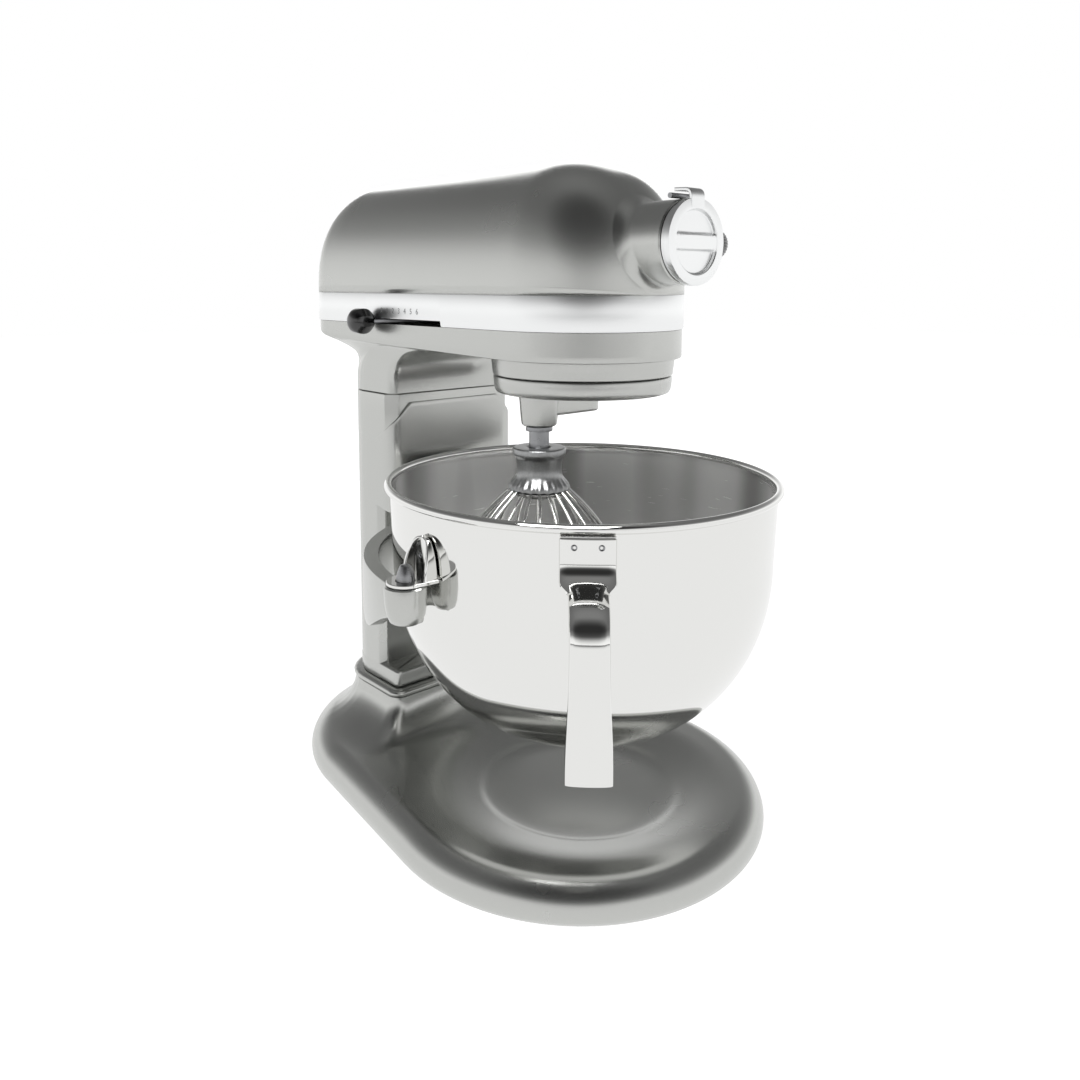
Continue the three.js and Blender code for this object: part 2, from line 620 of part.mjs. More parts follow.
// ---- Gears ----
// A gear outline about (0, 0) with one tooth centred on `phase` degrees. `fat` widens the tooth.
function gearOutline(teeth, pitch, phase, fat = 0, module = (2 * pitch) / teeth) {
  const step = 360 / teeth;
  const tip = pitch + 0.65 * module + fat;
  const root = pitch - 0.9 * module + fat;
  const wide = THREE.MathUtils.radToDeg(fat / pitch);
  return range(teeth).flatMap((i) => {
    const mid = phase + step * i;
    const foot = step * 0.27 + wide;
    const head = step * 0.12 + wide;
    const point = (r, degrees) => {
      const a = THREE.MathUtils.degToRad(degrees);
      return [r * Math.cos(a), r * Math.sin(a)];
    };
    return [point(root, mid - foot), point(tip, mid - head), point(tip, mid + head), point(root, mid + foot)];
  });
}
const moved = (outline, x, y) => outline.map(([a, b]) => [a + x, b + y]);

function makeRingGear() {
  const outer = disc(ringGearOuter, DRIP_TOP + 1, RING_STEP - 1, 0, 0, 28);
  const teeth = prism(gearOutline(RING_TEETH, ringPitch, 180, 0.25, ringModule), DRIP_TOP, RING_STEP);
  return cut(outer, teeth);
}
add("ring_gear", makeRingGear(), STEEL);

const beaterPitch = (ringModule * BEATER_TEETH) / 2;
const pinionOutline = moved(gearOutline(BEATER_TEETH, beaterPitch, 180), beaterX, 0);
const pinion = prism(pinionOutline, DRIP_TOP + 1.6, RING_STEP - 1.6);
const pinionBore = disc(BEATER_RADIUS - 0.6, DRIP_TOP, RING_STEP, beaterX, 0, 16);
add("beater_pinion", cut(pinion, pinionBore), STEEL);

const hubPitch = (BEVEL_PITCH * HUB_TEETH) / BEVEL_TEETH;
const bevelZ = HUB_Z - hubPitch; // pitch height of the bevel teeth at their outer ends

// Bevel teeth: a toothed outline that shrinks towards the point where the two axes meet.
// `place` turns (across, around, along-axis distance from that point) into a position.
function bevel(teeth, pitch, distance, phase, face, place) {
  const outline = gearOutline(teeth, pitch, phase, -0.25);
  const slant = Math.hypot(distance, pitch);
  const shrink = (slant - face) / slant;
  return loft([1, shrink].map((s) => outline.map(([a, b]) => place(a * s, b * s, distance * s))));
}

function makeCentreGear() {
  const wormAngle = THREE.MathUtils.radToDeg(Math.atan2(wormShaftY, wormShaftX));
  const base = CENTRE_GEAR_Z;
  const spur = prism(gearOutline(CENTRE_TEETH, CENTRE_PITCH, wormAngle), base, base + 8);
  const cone = bevel(BEVEL_TEETH, BEVEL_PITCH, hubPitch, -90, BEVEL_FACE, (a, b, d) => [a, b, HUB_Z - d]);
  const web = turned([[0, base], [30, base], [30, bevelZ - 2], [14, bevelZ + 2], [0, bevelZ + 2]], 0, 0, 16);
  return cut(join(spur, web, cone), disc(CENTRE_SHAFT + GAP, 0, FAR, 0, 0, 16));
}
add("centre_gear", makeCentreGear(), STEEL);
add("centre_shaft", disc(CENTRE_SHAFT, ARM_BOTTOM + 4, bevelZ + 6, 0, 0, 20), STEEL);
const bearingProfile = [
  [CENTRE_SHAFT + GAP, RING_STEP + 1],
  [BEARING_RADIUS, RING_STEP + 1],
  [BEARING_RADIUS, RING_STEP + 10],
  [CENTRE_SHAFT + GAP, RING_STEP + 10],
  [CENTRE_SHAFT + GAP, RING_STEP + 1],
];
add("centre_bearing", turned(bearingProfile, 0, 0, 24), STEEL);

function makeWormShaft() {
  const back = THREE.MathUtils.radToDeg(Math.atan2(-wormShaftY, -wormShaftX));
  const outline = gearOutline(WORM_PINION_TEETH, wormPinionPitch, back + 180 / WORM_PINION_TEETH);
  const pinion = prism(moved(outline, wormShaftX, wormShaftY), CENTRE_GEAR_Z - 0.5, CENTRE_GEAR_Z + 8.5);
  return join(pinion, disc(WORM_SHAFT, CASE_BOTTOM + 5, MOTOR_Z + 9, wormShaftX, wormShaftY, 16));
}
add("worm_shaft", makeWormShaft(), STEEL);

const wormModule = (2 * WORM_GEAR_PITCH) / WORM_TEETH;
const wormPitch = WORM_SIDE - WORM_GEAR_PITCH;
const wormLead = Math.PI * wormModule;
function makeWormGear() {
  const outline = moved(gearOutline(WORM_TEETH, WORM_GEAR_PITCH, 0), wormShaftX, wormShaftY);
  const bore = disc(WORM_SHAFT + GAP, 0, FAR, wormShaftX, wormShaftY, 16);
  return cut(prism(outline, MOTOR_Z - 3, MOTOR_Z + 3), bore);
}
add("worm_gear", makeWormGear(), BRONZE);

// The motor shaft with its worm: a right-hand thread whose gap faces the worm gear's tooth.
function makeMotorShaft() {
  const root = wormPitch - 1.6;
  const tip = wormPitch + 0.55 * wormModule;
  const turns = 3;
  const steps = 10 * turns;
  const rings = range(steps + 1).map((i) => {
    const turn = (i / steps - 0.5) * turns;
    const angle = 2 * Math.PI * turn;
    const y = wormShaftY + wormLead * (turn - 0.25);
    const section = [[root - 0.8, 1.5], [tip, 0.75], [tip, -0.75], [root - 0.8, -1.5]];
    return section.map(([r, along]) => [r * Math.sin(angle), y + along, MOTOR_Z + r * Math.cos(angle)]);
  });
  const thread = loft(rings);
  return join(
    thread,
    discY(root, wormShaftY - wormLead * 2.2, BULKHEAD[0] - 2, 0, MOTOR_Z, 16),
    discY(SHAFT_RADIUS, BULKHEAD[0] - 3, BRACKET[1] + 3, 0, MOTOR_Z, 16),
  );
}
add("motor_shaft", makeMotorShaft(), STEEL);

function sleeveY(outer, inner, y0, y1, sides = 16) {
  return cut(discY(outer, y0, y1, 0, MOTOR_Z, sides), discY(inner, y0 - 1, y1 + 1, 0, MOTOR_Z, sides));
}
const shaftBore = SHAFT_RADIUS + GAP;
add("front_bearing", sleeveY(MOTOR_BEARING, shaftBore, ...BULKHEAD), STEEL);
add("armature_core", sleeveY(CORE_RADIUS, shaftBore, FIELD_FRONT + 2, FIELD_REAR - 2), COPPER);
add("commutator", sleeveY(COMMUTATOR_RADIUS, shaftBore, ...COMMUTATOR), COPPER);
add("rear_bearing", sleeveY(MOTOR_BEARING, shaftBore, BRACKET[0], BRACKET[1] + 1), STEEL);
const fieldIron = sleeveY(FIELD_RADIUS, CORE_RADIUS + 1.2, FIELD_FRONT, FIELD_REAR);
const fieldCoils = sleeveY(FIELD_RADIUS - 4, CORE_RADIUS + 3, FIELD_FRONT - 6, FIELD_REAR + 6);
add("motor_field", join(fieldIron, fieldCoils), STEEL);

function makeBearingBracket() {
  const plate = discY(34, ...BRACKET, 0, MOTOR_Z, 24);
  const hole = discY(MOTOR_BEARING + GAP, BRACKET[0] - 6, BRACKET[1] + 4, 0, MOTOR_Z, 24);
  const front = FIELD_REAR + 6.4;
  const bars = [-31, 31].map((x) => box(x - 2, x + 2, front, BRACKET[0] + 1, MOTOR_Z - 8, MOTOR_Z + 8));
  return join(cut(plate, hole), ...bars);
}
add("bearing_bracket", makeBearingBracket(), STEEL);

// The carbon brushes press on the commutator from both sides.
const brush = (x0, x1) => box(x0, x1, COMMUTATOR[0] + 4, COMMUTATOR[1] - 4, MOTOR_Z - 3.5, MOTOR_Z + 3.5);
add("brush_left", brush(-COMMUTATOR_RADIUS - 14, -COMMUTATOR_RADIUS - 0.5), BLACK);
add("brush_right", brush(COMMUTATOR_RADIUS + 0.5, COMMUTATOR_RADIUS + 14), BLACK);
add("control_board", box(24, 52, 128, 190, CASE_BOTTOM + 8, CASE_BOTTOM + 10), BOARD);

// ---- Attachment hub ----
function makeHub() {
  const barrel = discY(HUB_RADIUS, HUB_FRONT, HUB_INNER, 0, HUB_Z);
  const rim = discY(HUB_RADIUS + 3, HUB_INNER - 6, HUB_INNER - 1, 0, HUB_Z);
  const flange = rim.intersect(headBody(WALL + 2, 300, 10, 4));
  const earRoot = HUB_Z + HUB_RADIUS - 5.6;
  const ear = (x0, x1) => box(x0, x1, HUB_FRONT, HUB_FRONT + 8, earRoot, HINGE_Z + 3.5);
  const ears = join(ear(-STRAP - 4.5, -STRAP - 1), ear(STRAP + 1, STRAP + 4.5));
  const bore = discY(HUB_BORE, HUB_FRONT - 1, HUB_INNER + 6, 0, HUB_Z);
  const pinHole = discX(HINGE_HOLE, -12, 12, HINGE_Y, HINGE_Z, 12);
  const stem = discX(3.6, 10, HUB_RADIUS + 2, KNOB_Y, HUB_Z, 12);
  return cut(join(barrel, flange, ears), bore, pinHole, stem);
}
add("attachment_hub", makeHub(), CASTING);

// The driven bevel gear, with a square socket for the attachments.
function makeHubDrive() {
  const place = (a, b, d) => [a, -d, HUB_Z + b];
  const teeth = bevel(HUB_TEETH, hubPitch, BEVEL_PITCH, -90 + 180 / HUB_TEETH, BEVEL_FACE, place);
  const front = HUB_FRONT + 14;
  const shaft = discY(HUB_BORE - 0.8, front, -BEVEL_PITCH + 2, 0, HUB_Z, 20);
  return cut(join(teeth, shaft), box(-5, 5, front - 2, front + 16, HUB_Z - 5, HUB_Z + 5));
}
add("hub_drive_gear", makeHubDrive(), STEEL);

function makeHubCover() {
  const back = HUB_FRONT - GAP;
  const front = back - HUB_CAP;
  const plate = discY(HUB_RADIUS, front + 1.5, back, 0, HUB_Z);
  const outer = discY(HUB_RADIUS - 1, front, front + 2, 0, HUB_Z);
  const rim = cut(outer, discY(HUB_RADIUS - 4, front - 1, front + 3, 0, HUB_Z));
  const bar = box(-HUB_RADIUS + 3, HUB_RADIUS - 3, front + 0.4, front + 2, HUB_Z - 4, HUB_Z + 4);
  const strap = box(-STRAP, STRAP, back - 4, back, HUB_Z + HUB_RADIUS - 4.6, HINGE_Z + 1);
  const link = box(-STRAP, STRAP, back - 4, HINGE_Y, HINGE_Z - 1.2, HINGE_Z + 3.2);
  const knuckle = discX(3.6, -STRAP, STRAP, HINGE_Y, HINGE_Z, 16);
  const pinHole = discX(HINGE_HOLE, -12, 12, HINGE_Y, HINGE_Z, 12);
  return cut(join(plate, rim, bar, strap, link, knuckle), pinHole);
}
add("hub_cover", makeHubCover(), SILVER);
add("hub_hinge_pin", discX(HINGE_HOLE - GAP, -STRAP - 5, STRAP + 5, HINGE_Y, HINGE_Z, 12), STEEL);

function makeHubKnob() {
  const root = HUB_RADIUS + 5.5;
  const end = root + KNOB_LENGTH;
  return join(
    discX(3, HUB_BORE + 1, root + 0.5, KNOB_Y, HUB_Z, 12),
    discX(KNOB_RADIUS - 3, root - 2.5, root + 0.5, KNOB_Y, HUB_Z, 20),
    discX(KNOB_RADIUS, root, end - 4, KNOB_Y, HUB_Z, 20),
    discX(KNOB_RADIUS - 2, end - 5.5, end - 0.5, KNOB_Y, HUB_Z, 20),
  );
}
add("hub_knob", makeHubKnob(), BLACK);

// ---- Planetary, beater shaft and whisk ----
function makePlanetary() {
  const carrier = disc(CARRIER_RADIUS, DRIP_BOTTOM + 3, DRIP_BOTTOM + 9, 0, 0, 36);
  const boss = disc(10.5, BOSS_BOTTOM, DRIP_BOTTOM + 4, beaterX, 0, 24);
  const centre = disc(9.6, ARM_BOTTOM, DRIP_TOP, 0, 0, 24);
  const arm = box(beaterX, 0, -9.6, 9.6, ARM_BOTTOM, DRIP_BOTTOM + 4);
  const shaftHole = disc(CENTRE_SHAFT + GAP, ARM_BOTTOM + 3.5, DRIP_TOP + 1, 0, 0, 20);
  const beaterHole = disc(BEATER_RADIUS + GAP, BOSS_BOTTOM - 1, DRIP_TOP + 1, beaterX, 0, 20);
  return cut(join(carrier, boss, centre, arm), shaftHole, beaterHole);
}
add("planetary", makePlanetary(), CASTING);

const beaterShaft = join(
  disc(BEATER_RADIUS, BEATER_BOTTOM, DRIP_TOP + 0.8, beaterX, 0, 20),
  disc(BEATER_RADIUS - 1, DRIP_TOP, RING_STEP - 1.2, beaterX, 0, 16),
  disc(BEATER_RADIUS + 2, BOSS_BOTTOM - 3, BOSS_BOTTOM - GAP, beaterX, 0, 20),
);
add("beater_shaft", cut(beaterShaft, discX(2, beaterX - 10, beaterX + 10, 0, PIN_Z, 12)), STEEL);
add("beater_pin", discX(1.6, beaterX - 10.5, beaterX + 10.5, 0, PIN_Z, 12), STEEL);

function makeWhiskHub() {
  const bottom = WHISK_TOP - WHISK_HUB;
  const waist = 14.2;
  const skirt = [[0, bottom], [19, bottom], [18.4, bottom + 3.5], [waist, bottom + 9]];
  const flange = [[waist, WHISK_TOP - 5.5], [16.4, WHISK_TOP - 4.5], [16.4, WHISK_TOP], [0, WHISK_TOP]];
  const body = turned([...skirt, ...flange], beaterX, 0, 28);
  const bore = disc(BEATER_RADIUS + GAP, BEATER_BOTTOM - 1, WHISK_TOP + 1, beaterX, 0, 20);
  const slot = box(beaterX - 11.5, beaterX + 11.5, -2.3, 2.3, PIN_Z - 2.2, WHISK_TOP + 1);
  return cut(body, bore, slot);
}
add("whisk_hub", makeWhiskHub(), SILVER);

// Each wire is a loop through the axis. The loops nest, so that none touches another where they cross.
function makeWhiskWires() {
  const top = WHISK_TOP - WHISK_HUB - GAP;
  const hold = 15.5;
  const nest = WIRE + 0.5;
  let cage = turned([[0, top - 3], [18, top - 3], [18, top], [0, top]], beaterX, 0, 24);
  for (const i of range(WHISK_WIRES)) {
    const turn = (Math.PI * i) / WHISK_WIRES;
    const bottom = WHISK_BOTTOM + WIRE / 2 + nest * i;
    const reach = WHISK_RADIUS - WIRE / 2 - 0.35 * nest * i;
    const upper = range(4).map((k) => {
      const share = 1 - k / 4;
      return [hold + (reach - hold) * (1 - share ** 2.2), WHISK_WIDEST + (top - 1.5 - WHISK_WIDEST) * share];
    });
    const lower = range(5).map((k) => {
      const a = ((Math.PI / 2) * k) / 4;
      return [reach * Math.cos(a), WHISK_WIDEST - (WHISK_WIDEST - bottom) * Math.sin(a)];
    });
    const half = [...upper, ...lower];
    const path = [...half, ...half.slice(0, -1).reverse().map(([r, z]) => [-r, z])];
    const points = path.map(([r, z]) => [beaterX + r * Math.cos(turn), r * Math.sin(turn), z]);
    cage = cage.add(tube(points, WIRE / 2, 2, 12));
  }
  return cage;
}
add("whisk_wires", makeWhiskWires(), POLISHED);

// ---- Speed lever ----
function makeSpeedLever() {
  const knobX = -HEAD_HALF_WIDTH - 5;
  const length = Math.hypot(LEVER_PIVOT_X - knobX, LEVER_REST_Y - LEVER_PIVOT_Y);
  const low = LEVER_Z - LEVER_THICK / 2;
  const eye = disc(8, low, low + LEVER_THICK, 0, 0, 20);
  const bar = box(-length - 4, 0, -4, 4, low, low + LEVER_THICK);
  const arm = cut(join(eye, bar), disc(3 + GAP, low - 1, low + 4, 0, 0, 16));
  return { arm, length, angle: Math.atan2(LEVER_REST_Y - LEVER_PIVOT_Y, LEVER_PIVOT_X - knobX) };
}
const lever = makeSpeedLever();
const leverGroup = new THREE.Group();
leverGroup.position.set(LEVER_PIVOT_X, LEVER_PIVOT_Y, 0);
leverGroup.rotation.z = -lever.angle;
mixer.add(leverGroup);
leverGroup.add(add("speed_lever", lever.arm, STEEL));

function makeSpeedKnob() {
  const knob = new THREE.SphereGeometry(9.3, 12, 8);
  const ball = solid(knob.scale(0.8, 1, 1).translate(-lever.length - 4.5, 0, LEVER_Z));
  const low = LEVER_Z - LEVER_THICK / 2;
  return cut(ball, box(-lever.length - 4.4, 0, -4.4, 4.4, low - GAP, low + LEVER_THICK + GAP));
}
leverGroup.add(add("speed_knob", makeSpeedKnob(), BLACK));

// ---- Bowl support and its lift ----
function makeSupport() {
  const ring = cut(
    disc(YOKE_OUTER, YOKE_BOTTOM, YOKE_TOP, 0, 0, 48),
    disc(YOKE_INNER, YOKE_BOTTOM - 1, YOKE_TOP + 1, 0, 0, 48),
    box(-FAR, FAR, -FAR, 0, 0, FAR),
  );
  const block = box(-YOKE_BLOCK, YOKE_BLOCK, YOKE_INNER + 2.4, COLUMN_FRONT - GAP, YOKE_BOTTOM, YOKE_TOP);
  const inside = COLUMN_FRONT + COLUMN_WALL + 5;
  const tongue = box(-TONGUE, TONGUE, COLUMN_FRONT - 6, inside, YOKE_BOTTOM, YOKE_TOP - 2);
  const bowlSpace = disc(YOKE_INNER, YOKE_BOTTOM - 1, YOKE_TOP + 1, 0, 0, 48);
  let support = cut(join(ring, block, tongue), bowlSpace);
  const padBottom = PAD_TOP - PAD_HEIGHT;
  const padProfile = [
    [0, padBottom],
    [PAD_RADIUS - 4, padBottom],
    [PAD_RADIUS - 1, padBottom + 5],
    [PAD_RADIUS, PAD_TOP - 2],
    [PAD_RADIUS - 1, PAD_TOP],
    [0, PAD_TOP],
  ];
  for (const x of [-PIN_REACH, PIN_REACH]) {
    const pad = cut(turned(padProfile, x, 0, 24), disc(BOWL_RADIUS + 1.8, 100, PAD_TOP + 15, 0, 0, 48));
    support = cut(join(support, pad), disc(PIN_RADIUS - 1 + GAP, PAD_TOP - 9, PAD_TOP + 1, x, 0, 16));
  }
  // The underside of each arm rises towards its pad.
  const rise = [[-60, YOKE_BOTTOM - 1], [60, YOKE_BOTTOM - 1], [8, padBottom], [-60, padBottom]];
  const wedge = new THREE.Shape(rise.map(([y, z]) => new THREE.Vector2(y, z)));
  const sweep = new THREE.ExtrudeGeometry(wedge, { depth: FAR, bevelEnabled: false });
  const clear = solid(sweep.rotateX(Math.PI / 2).rotateZ(Math.PI / 2).translate(-FAR / 2, 0, 0));
  const seatHalf = SPRING_HALF + 1;
  const seat = box(-seatHalf, seatHalf, SPRING_Y - 0.5, SPRING_Y + 6, YOKE_TOP - 1.6, YOKE_TOP + 1);
  return cut(support, clear, seat);
}
add("bowl_support", makeSupport(), CASTING);

// A locating pin: a spigot in the pad and a tapered pin above it.
const pinTop = PAD_TOP + PIN_HEIGHT;
const pinProfile = [
  [0, PAD_TOP - 8.5],
  [PIN_RADIUS - 1, PAD_TOP - 8.5],
  [PIN_RADIUS - 1, PAD_TOP + GAP],
  [PIN_RADIUS, PAD_TOP + GAP],
  [PIN_RADIUS, PAD_TOP + 4],
  [PIN_RADIUS - 1.6, pinTop - 1],
  [PIN_RADIUS - 2.6, pinTop],
  [0, pinTop],
];
add("locating_pin_left", turned(pinProfile, -PIN_REACH, 0, 16), STEEL);
add("locating_pin_right", turned(pinProfile, PIN_REACH, 0, 16), STEEL);

// The spring: a plate with two leaves that grip the bowl's rear pin.
function makeSpring() {
  const plate = box(-SPRING_HALF, SPRING_HALF, SPRING_Y, SPRING_Y + 5.5, YOKE_TOP - 1.2, YOKE_TOP);
  const leaf = (x) => box(x - 0.6, x + 0.6, SPRING_Y, SPRING_Y + 5.5, YOKE_TOP - 0.6, YOKE_TOP + 11);
  return join(plate, leaf(-REAR_PIN - 1.6), leaf(REAR_PIN + 1.6));
}
add("bowl_spring", makeSpring(), STEEL);

function makeLiftShaft() {
  const rod = discX(LIFT_SHAFT, 0, NECK_HALF + 5, LIFT_Y, LIFT_Z, 20);
  const collar = discX(11, 8, 14, LIFT_Y, LIFT_Z, 20);
  const crank = box(8, 14, LIFT_Y - 5, LIFT_Y + 5, LIFT_Z, LIFT_Z + 17);
  return join(rod, collar, crank);
}
add("lift_shaft", makeLiftShaft(), STEEL);

const leverEnd = LIFT_Z + LEVER_LENGTH;
function makeLiftLever() {
  const boss = discX(11, NECK_HALF + 1, LEVER_X + 7, LIFT_Y, LIFT_Z, 20);
  const bar = box(LEVER_X + 1.5, LEVER_X + 6.5, LIFT_Y - 6, LIFT_Y + 6, LIFT_Z, leverEnd - 14);
  const socket = discX(LIFT_SHAFT + GAP, NECK_HALF, NECK_HALF + 5 + GAP, LIFT_Y, LIFT_Z, 20);
  const spigot = disc(SPIGOT, leverEnd - 16, leverEnd - 4, LEVER_X + 4, LIFT_Y, 16);
  return cut(join(boss, bar, spigot), socket);
}
add("lift_lever", makeLiftLever(), SILVER);

function makeLiftKnob() {
  const ball = new THREE.SphereGeometry(10, 12, 8).scale(1, 1, 1.25).translate(LEVER_X + 4, LIFT_Y, leverEnd);
  const bore = disc(SPIGOT + GAP, LIFT_Z, leverEnd - 4 + GAP, LEVER_X + 4, LIFT_Y, 16);
  const flat = box(0, FAR, LIFT_Y - 7, LIFT_Y + 7, LIFT_Z, leverEnd - 14 + GAP);
  return cut(solid(ball), bore, flat);
}
add("lift_knob", makeLiftKnob(), BLACK);

// ---- Bowl ----
function bowlRadius(z, inset = 0) {
  const waist = BOWL_WAIST - inset;
  if (z >= BOWL_WAIST_Z) {
    return waist + ((BOWL_RADIUS - BOWL_WAIST) * (z - BOWL_WAIST_Z)) / (BOWL_RIM_Z - BOWL_WAIST_Z);
  }
  const share = Math.min((BOWL_WAIST_Z - z) / (BOWL_WAIST_Z - BOWL_BOTTOM - inset), 1);
  return waist * (1 - share ** BOWL_ROUND) ** (1 / BOWL_ROUND);
}

function bowlProfile(inset) {
  const bottom = BOWL_BOTTOM + inset;
  const curve = range(7).map((i) => {
    const z = BOWL_WAIST_Z - (BOWL_WAIST_Z - bottom) * Math.sin((Math.PI / 2) * (i / 6.5));
    return [bowlRadius(z, inset), z];
  });
  return [[BOWL_RADIUS - inset, BOWL_RIM_Z - 4], ...curve, [0, bottom]];
}

function makeBowl() {
  const outside = bowlProfile(0).reverse();
  const inside = bowlProfile(BOWL_WALL);
  const bead = [
    [BOWL_RADIUS + 1.2, BOWL_RIM_Z - 5],
    [BOWL_RADIUS + RIM_BEAD, BOWL_RIM_Z - 3.4],
    [BOWL_RADIUS + RIM_BEAD, BOWL_RIM_Z - 1.4],
    [BOWL_RADIUS + 1.4, BOWL_RIM_Z],
    [BOWL_RADIUS - BOWL_WALL, BOWL_RIM_Z - 0.6],
  ];
  return turned([...outside, ...bead, ...inside], 0, 0, 32);
}
add("bowl", makeBowl(), POLISHED);

// An ear: a flange with a hole for the pin, and a domed gusset up the side of the bowl.
function makeEar(side) {
  const low = PAD_TOP + GAP;
  const pinX = side * PIN_REACH;
  const rootX = side * (BOWL_RADIUS - 7.7);
  const flange = join(
    box(Math.min(pinX, rootX), Math.max(pinX, rootX), -12, 12, low, low + EAR_THICK),
    disc(EAR_REACH - PIN_REACH, low, low + EAR_THICK, pinX, 0, 24),
  );
  const hood = new THREE.SphereGeometry(1, 12, 8);
  const hoodX = side * (BOWL_RADIUS + 0.8);
  const outer = solid(hood.clone().scale(7, 10.5, EAR_HOOD).translate(hoodX, 0, low));
  const inner = solid(hood.clone().scale(5.4, 8.7, EAR_HOOD - 2).translate(hoodX, 0, low));
  const gusset = cut(outer, inner, box(-FAR, FAR, -FAR, FAR, 0, low));
  const hole = disc(PIN_RADIUS + GAP, low - 1, low + 6, pinX, 0, 20);
  const bowlSide = disc(bowlRadius(low + 10) + GAP + 1.4, 0, FAR, 0, 0, 48);
  return cut(join(flange, gusset), hole, bowlSide);
}
add("bowl_ear_left", makeEar(-1), POLISHED);
add("bowl_ear_right", makeEar(1), POLISHED);

const rearPin = discY(REAR_PIN, BOWL_RADIUS - 7.7, YOKE_INNER + 5.4, 0, REAR_PIN_Z, 16);
add("bowl_rear_pin", cut(rearPin, disc(bowlRadius(REAR_PIN_Z) + 0.8, 0, FAR, 0, 0, 48)), STEEL);

// An outline of [x, z] points given a width along Y, starting at y.
function laid(outline, width, y) {
  const shape = new THREE.Shape(outline.map(([x, z]) => new THREE.Vector2(x, z)));
  const geometry = new THREE.ExtrudeGeometry(shape, { depth: width, bevelEnabled: false });
  return solid(geometry.rotateX(Math.PI / 2).translate(0, y + width, 0));
}

// The handle: a plate on the bowl, a strap that leaves it and hangs down, and two side flanges.
function makeHandle() {
  const root = BOWL_RADIUS + 2.6;
  const reach = HANDLE_REACH;
  const centre = [
    [root + 1, BOWL_RIM_Z - 6],
    [root + 1, 206],
    [root + 7, 200],
    [reach - 14, 190],
    [reach - 5, 176],
    [reach - 2, 150],
    [reach - 1, HANDLE_BOTTOM],
  ];
  const sides = centre.map(([x, z], i) => {
    const [x0, z0] = centre[Math.max(i - 1, 0)];
    const [x1, z1] = centre[Math.min(i + 1, centre.length - 1)];
    const half = HANDLE_THICK / 2 / Math.hypot(x1 - x0, z1 - z0);
    return [half * (z0 - z1), half * (x1 - x0), x, z];
  });
  const front = sides.map(([nx, nz, x, z]) => [x + nx, z + nz]);
  const back = sides.map(([nx, nz, x, z]) => [x - nx, z - nz]).reverse();
  const strap = laid([...front, ...back], HANDLE_WIDTH, -HANDLE_WIDTH / 2);
  const flange = [
    [reach - 1, HANDLE_BOTTOM],
    [reach - 2, 150],
    [reach - 5, 176],
    [reach - 13, 176],
    [reach - 11, 150],
    [reach - 10, HANDLE_BOTTOM],
  ];
  const flanges = join(laid(flange, 2, -HANDLE_WIDTH / 2), laid(flange, 2, HANDLE_WIDTH / 2 - 2));
  const plate = box(root - 0.5, root + 2.5, -14, 14, 203, BOWL_RIM_Z - 5.6);
  return join(strap, flanges, plate);
}
const handleGroup = new THREE.Group();
handleGroup.rotation.z = THREE.MathUtils.degToRad(-90 + HANDLE_ANGLE);
mixer.add(handleGroup);
handleGroup.add(add("bowl_handle", makeHandle(), POLISHED));

// ---- Place the mixer: the origin is on the floor, under the middle of its length ----
const extent = new THREE.Box3().setFromObject(mixer, true);
mixer.position.y = -(extent.min.y + extent.max.y) / 2;

export default mixer;
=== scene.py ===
# %% [markdown]
# # A bowl-lift stand mixer
# This lesson builds the looks of a kitchen stand mixer around a frame of plain solids that is already
# the right size. The frame gives every place and size; the cells below only make the surfaces finer.
# Everything new is a grid of points worked out with numpy: a profile turned about an axis, a profile
# carried round an outline, or a height over a plan.

# %% The frame and the numbers that come from it
import json
import math
import bpy
import bmesh
import numpy as np
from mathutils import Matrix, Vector


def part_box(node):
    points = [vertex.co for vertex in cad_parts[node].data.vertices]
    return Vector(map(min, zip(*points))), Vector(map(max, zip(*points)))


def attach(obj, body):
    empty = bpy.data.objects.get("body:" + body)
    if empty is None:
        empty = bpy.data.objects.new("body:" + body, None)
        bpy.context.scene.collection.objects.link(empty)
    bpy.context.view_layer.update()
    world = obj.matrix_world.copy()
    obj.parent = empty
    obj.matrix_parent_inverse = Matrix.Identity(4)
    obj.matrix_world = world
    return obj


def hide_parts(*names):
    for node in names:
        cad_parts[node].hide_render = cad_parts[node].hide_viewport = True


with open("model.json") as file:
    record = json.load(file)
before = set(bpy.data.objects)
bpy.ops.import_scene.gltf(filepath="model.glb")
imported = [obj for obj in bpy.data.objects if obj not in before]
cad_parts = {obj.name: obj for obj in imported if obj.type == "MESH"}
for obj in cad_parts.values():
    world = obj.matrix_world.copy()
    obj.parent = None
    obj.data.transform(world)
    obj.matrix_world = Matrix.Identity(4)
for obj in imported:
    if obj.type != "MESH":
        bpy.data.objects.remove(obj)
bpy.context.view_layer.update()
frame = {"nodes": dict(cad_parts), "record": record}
MM = 0.001
ring_low, ring_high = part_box("drip_ring")
AXIS = np.array([0.0, (ring_low.y + ring_high.y) / 2 / MM, 0.0])


def span(node):
    """The low and high corner of a frame node in millimetres, measured from the bowl's axis on the floor."""
    low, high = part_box(node)
    return np.array(low) / MM - AXIS, np.array(high) / MM - AXIS


print("frame of", len(frame["nodes"]), "nodes; the bowl's axis is at y =", round(AXIS[1], 2), "mm")

# %% [markdown]
# ## The camera
# A product camera stands a little to the left of the front, just under the height of the motor head.
# It is level from side to side and looks slightly down. The small shifts slide the film instead of
# turning the camera, which keeps the column upright in the picture.

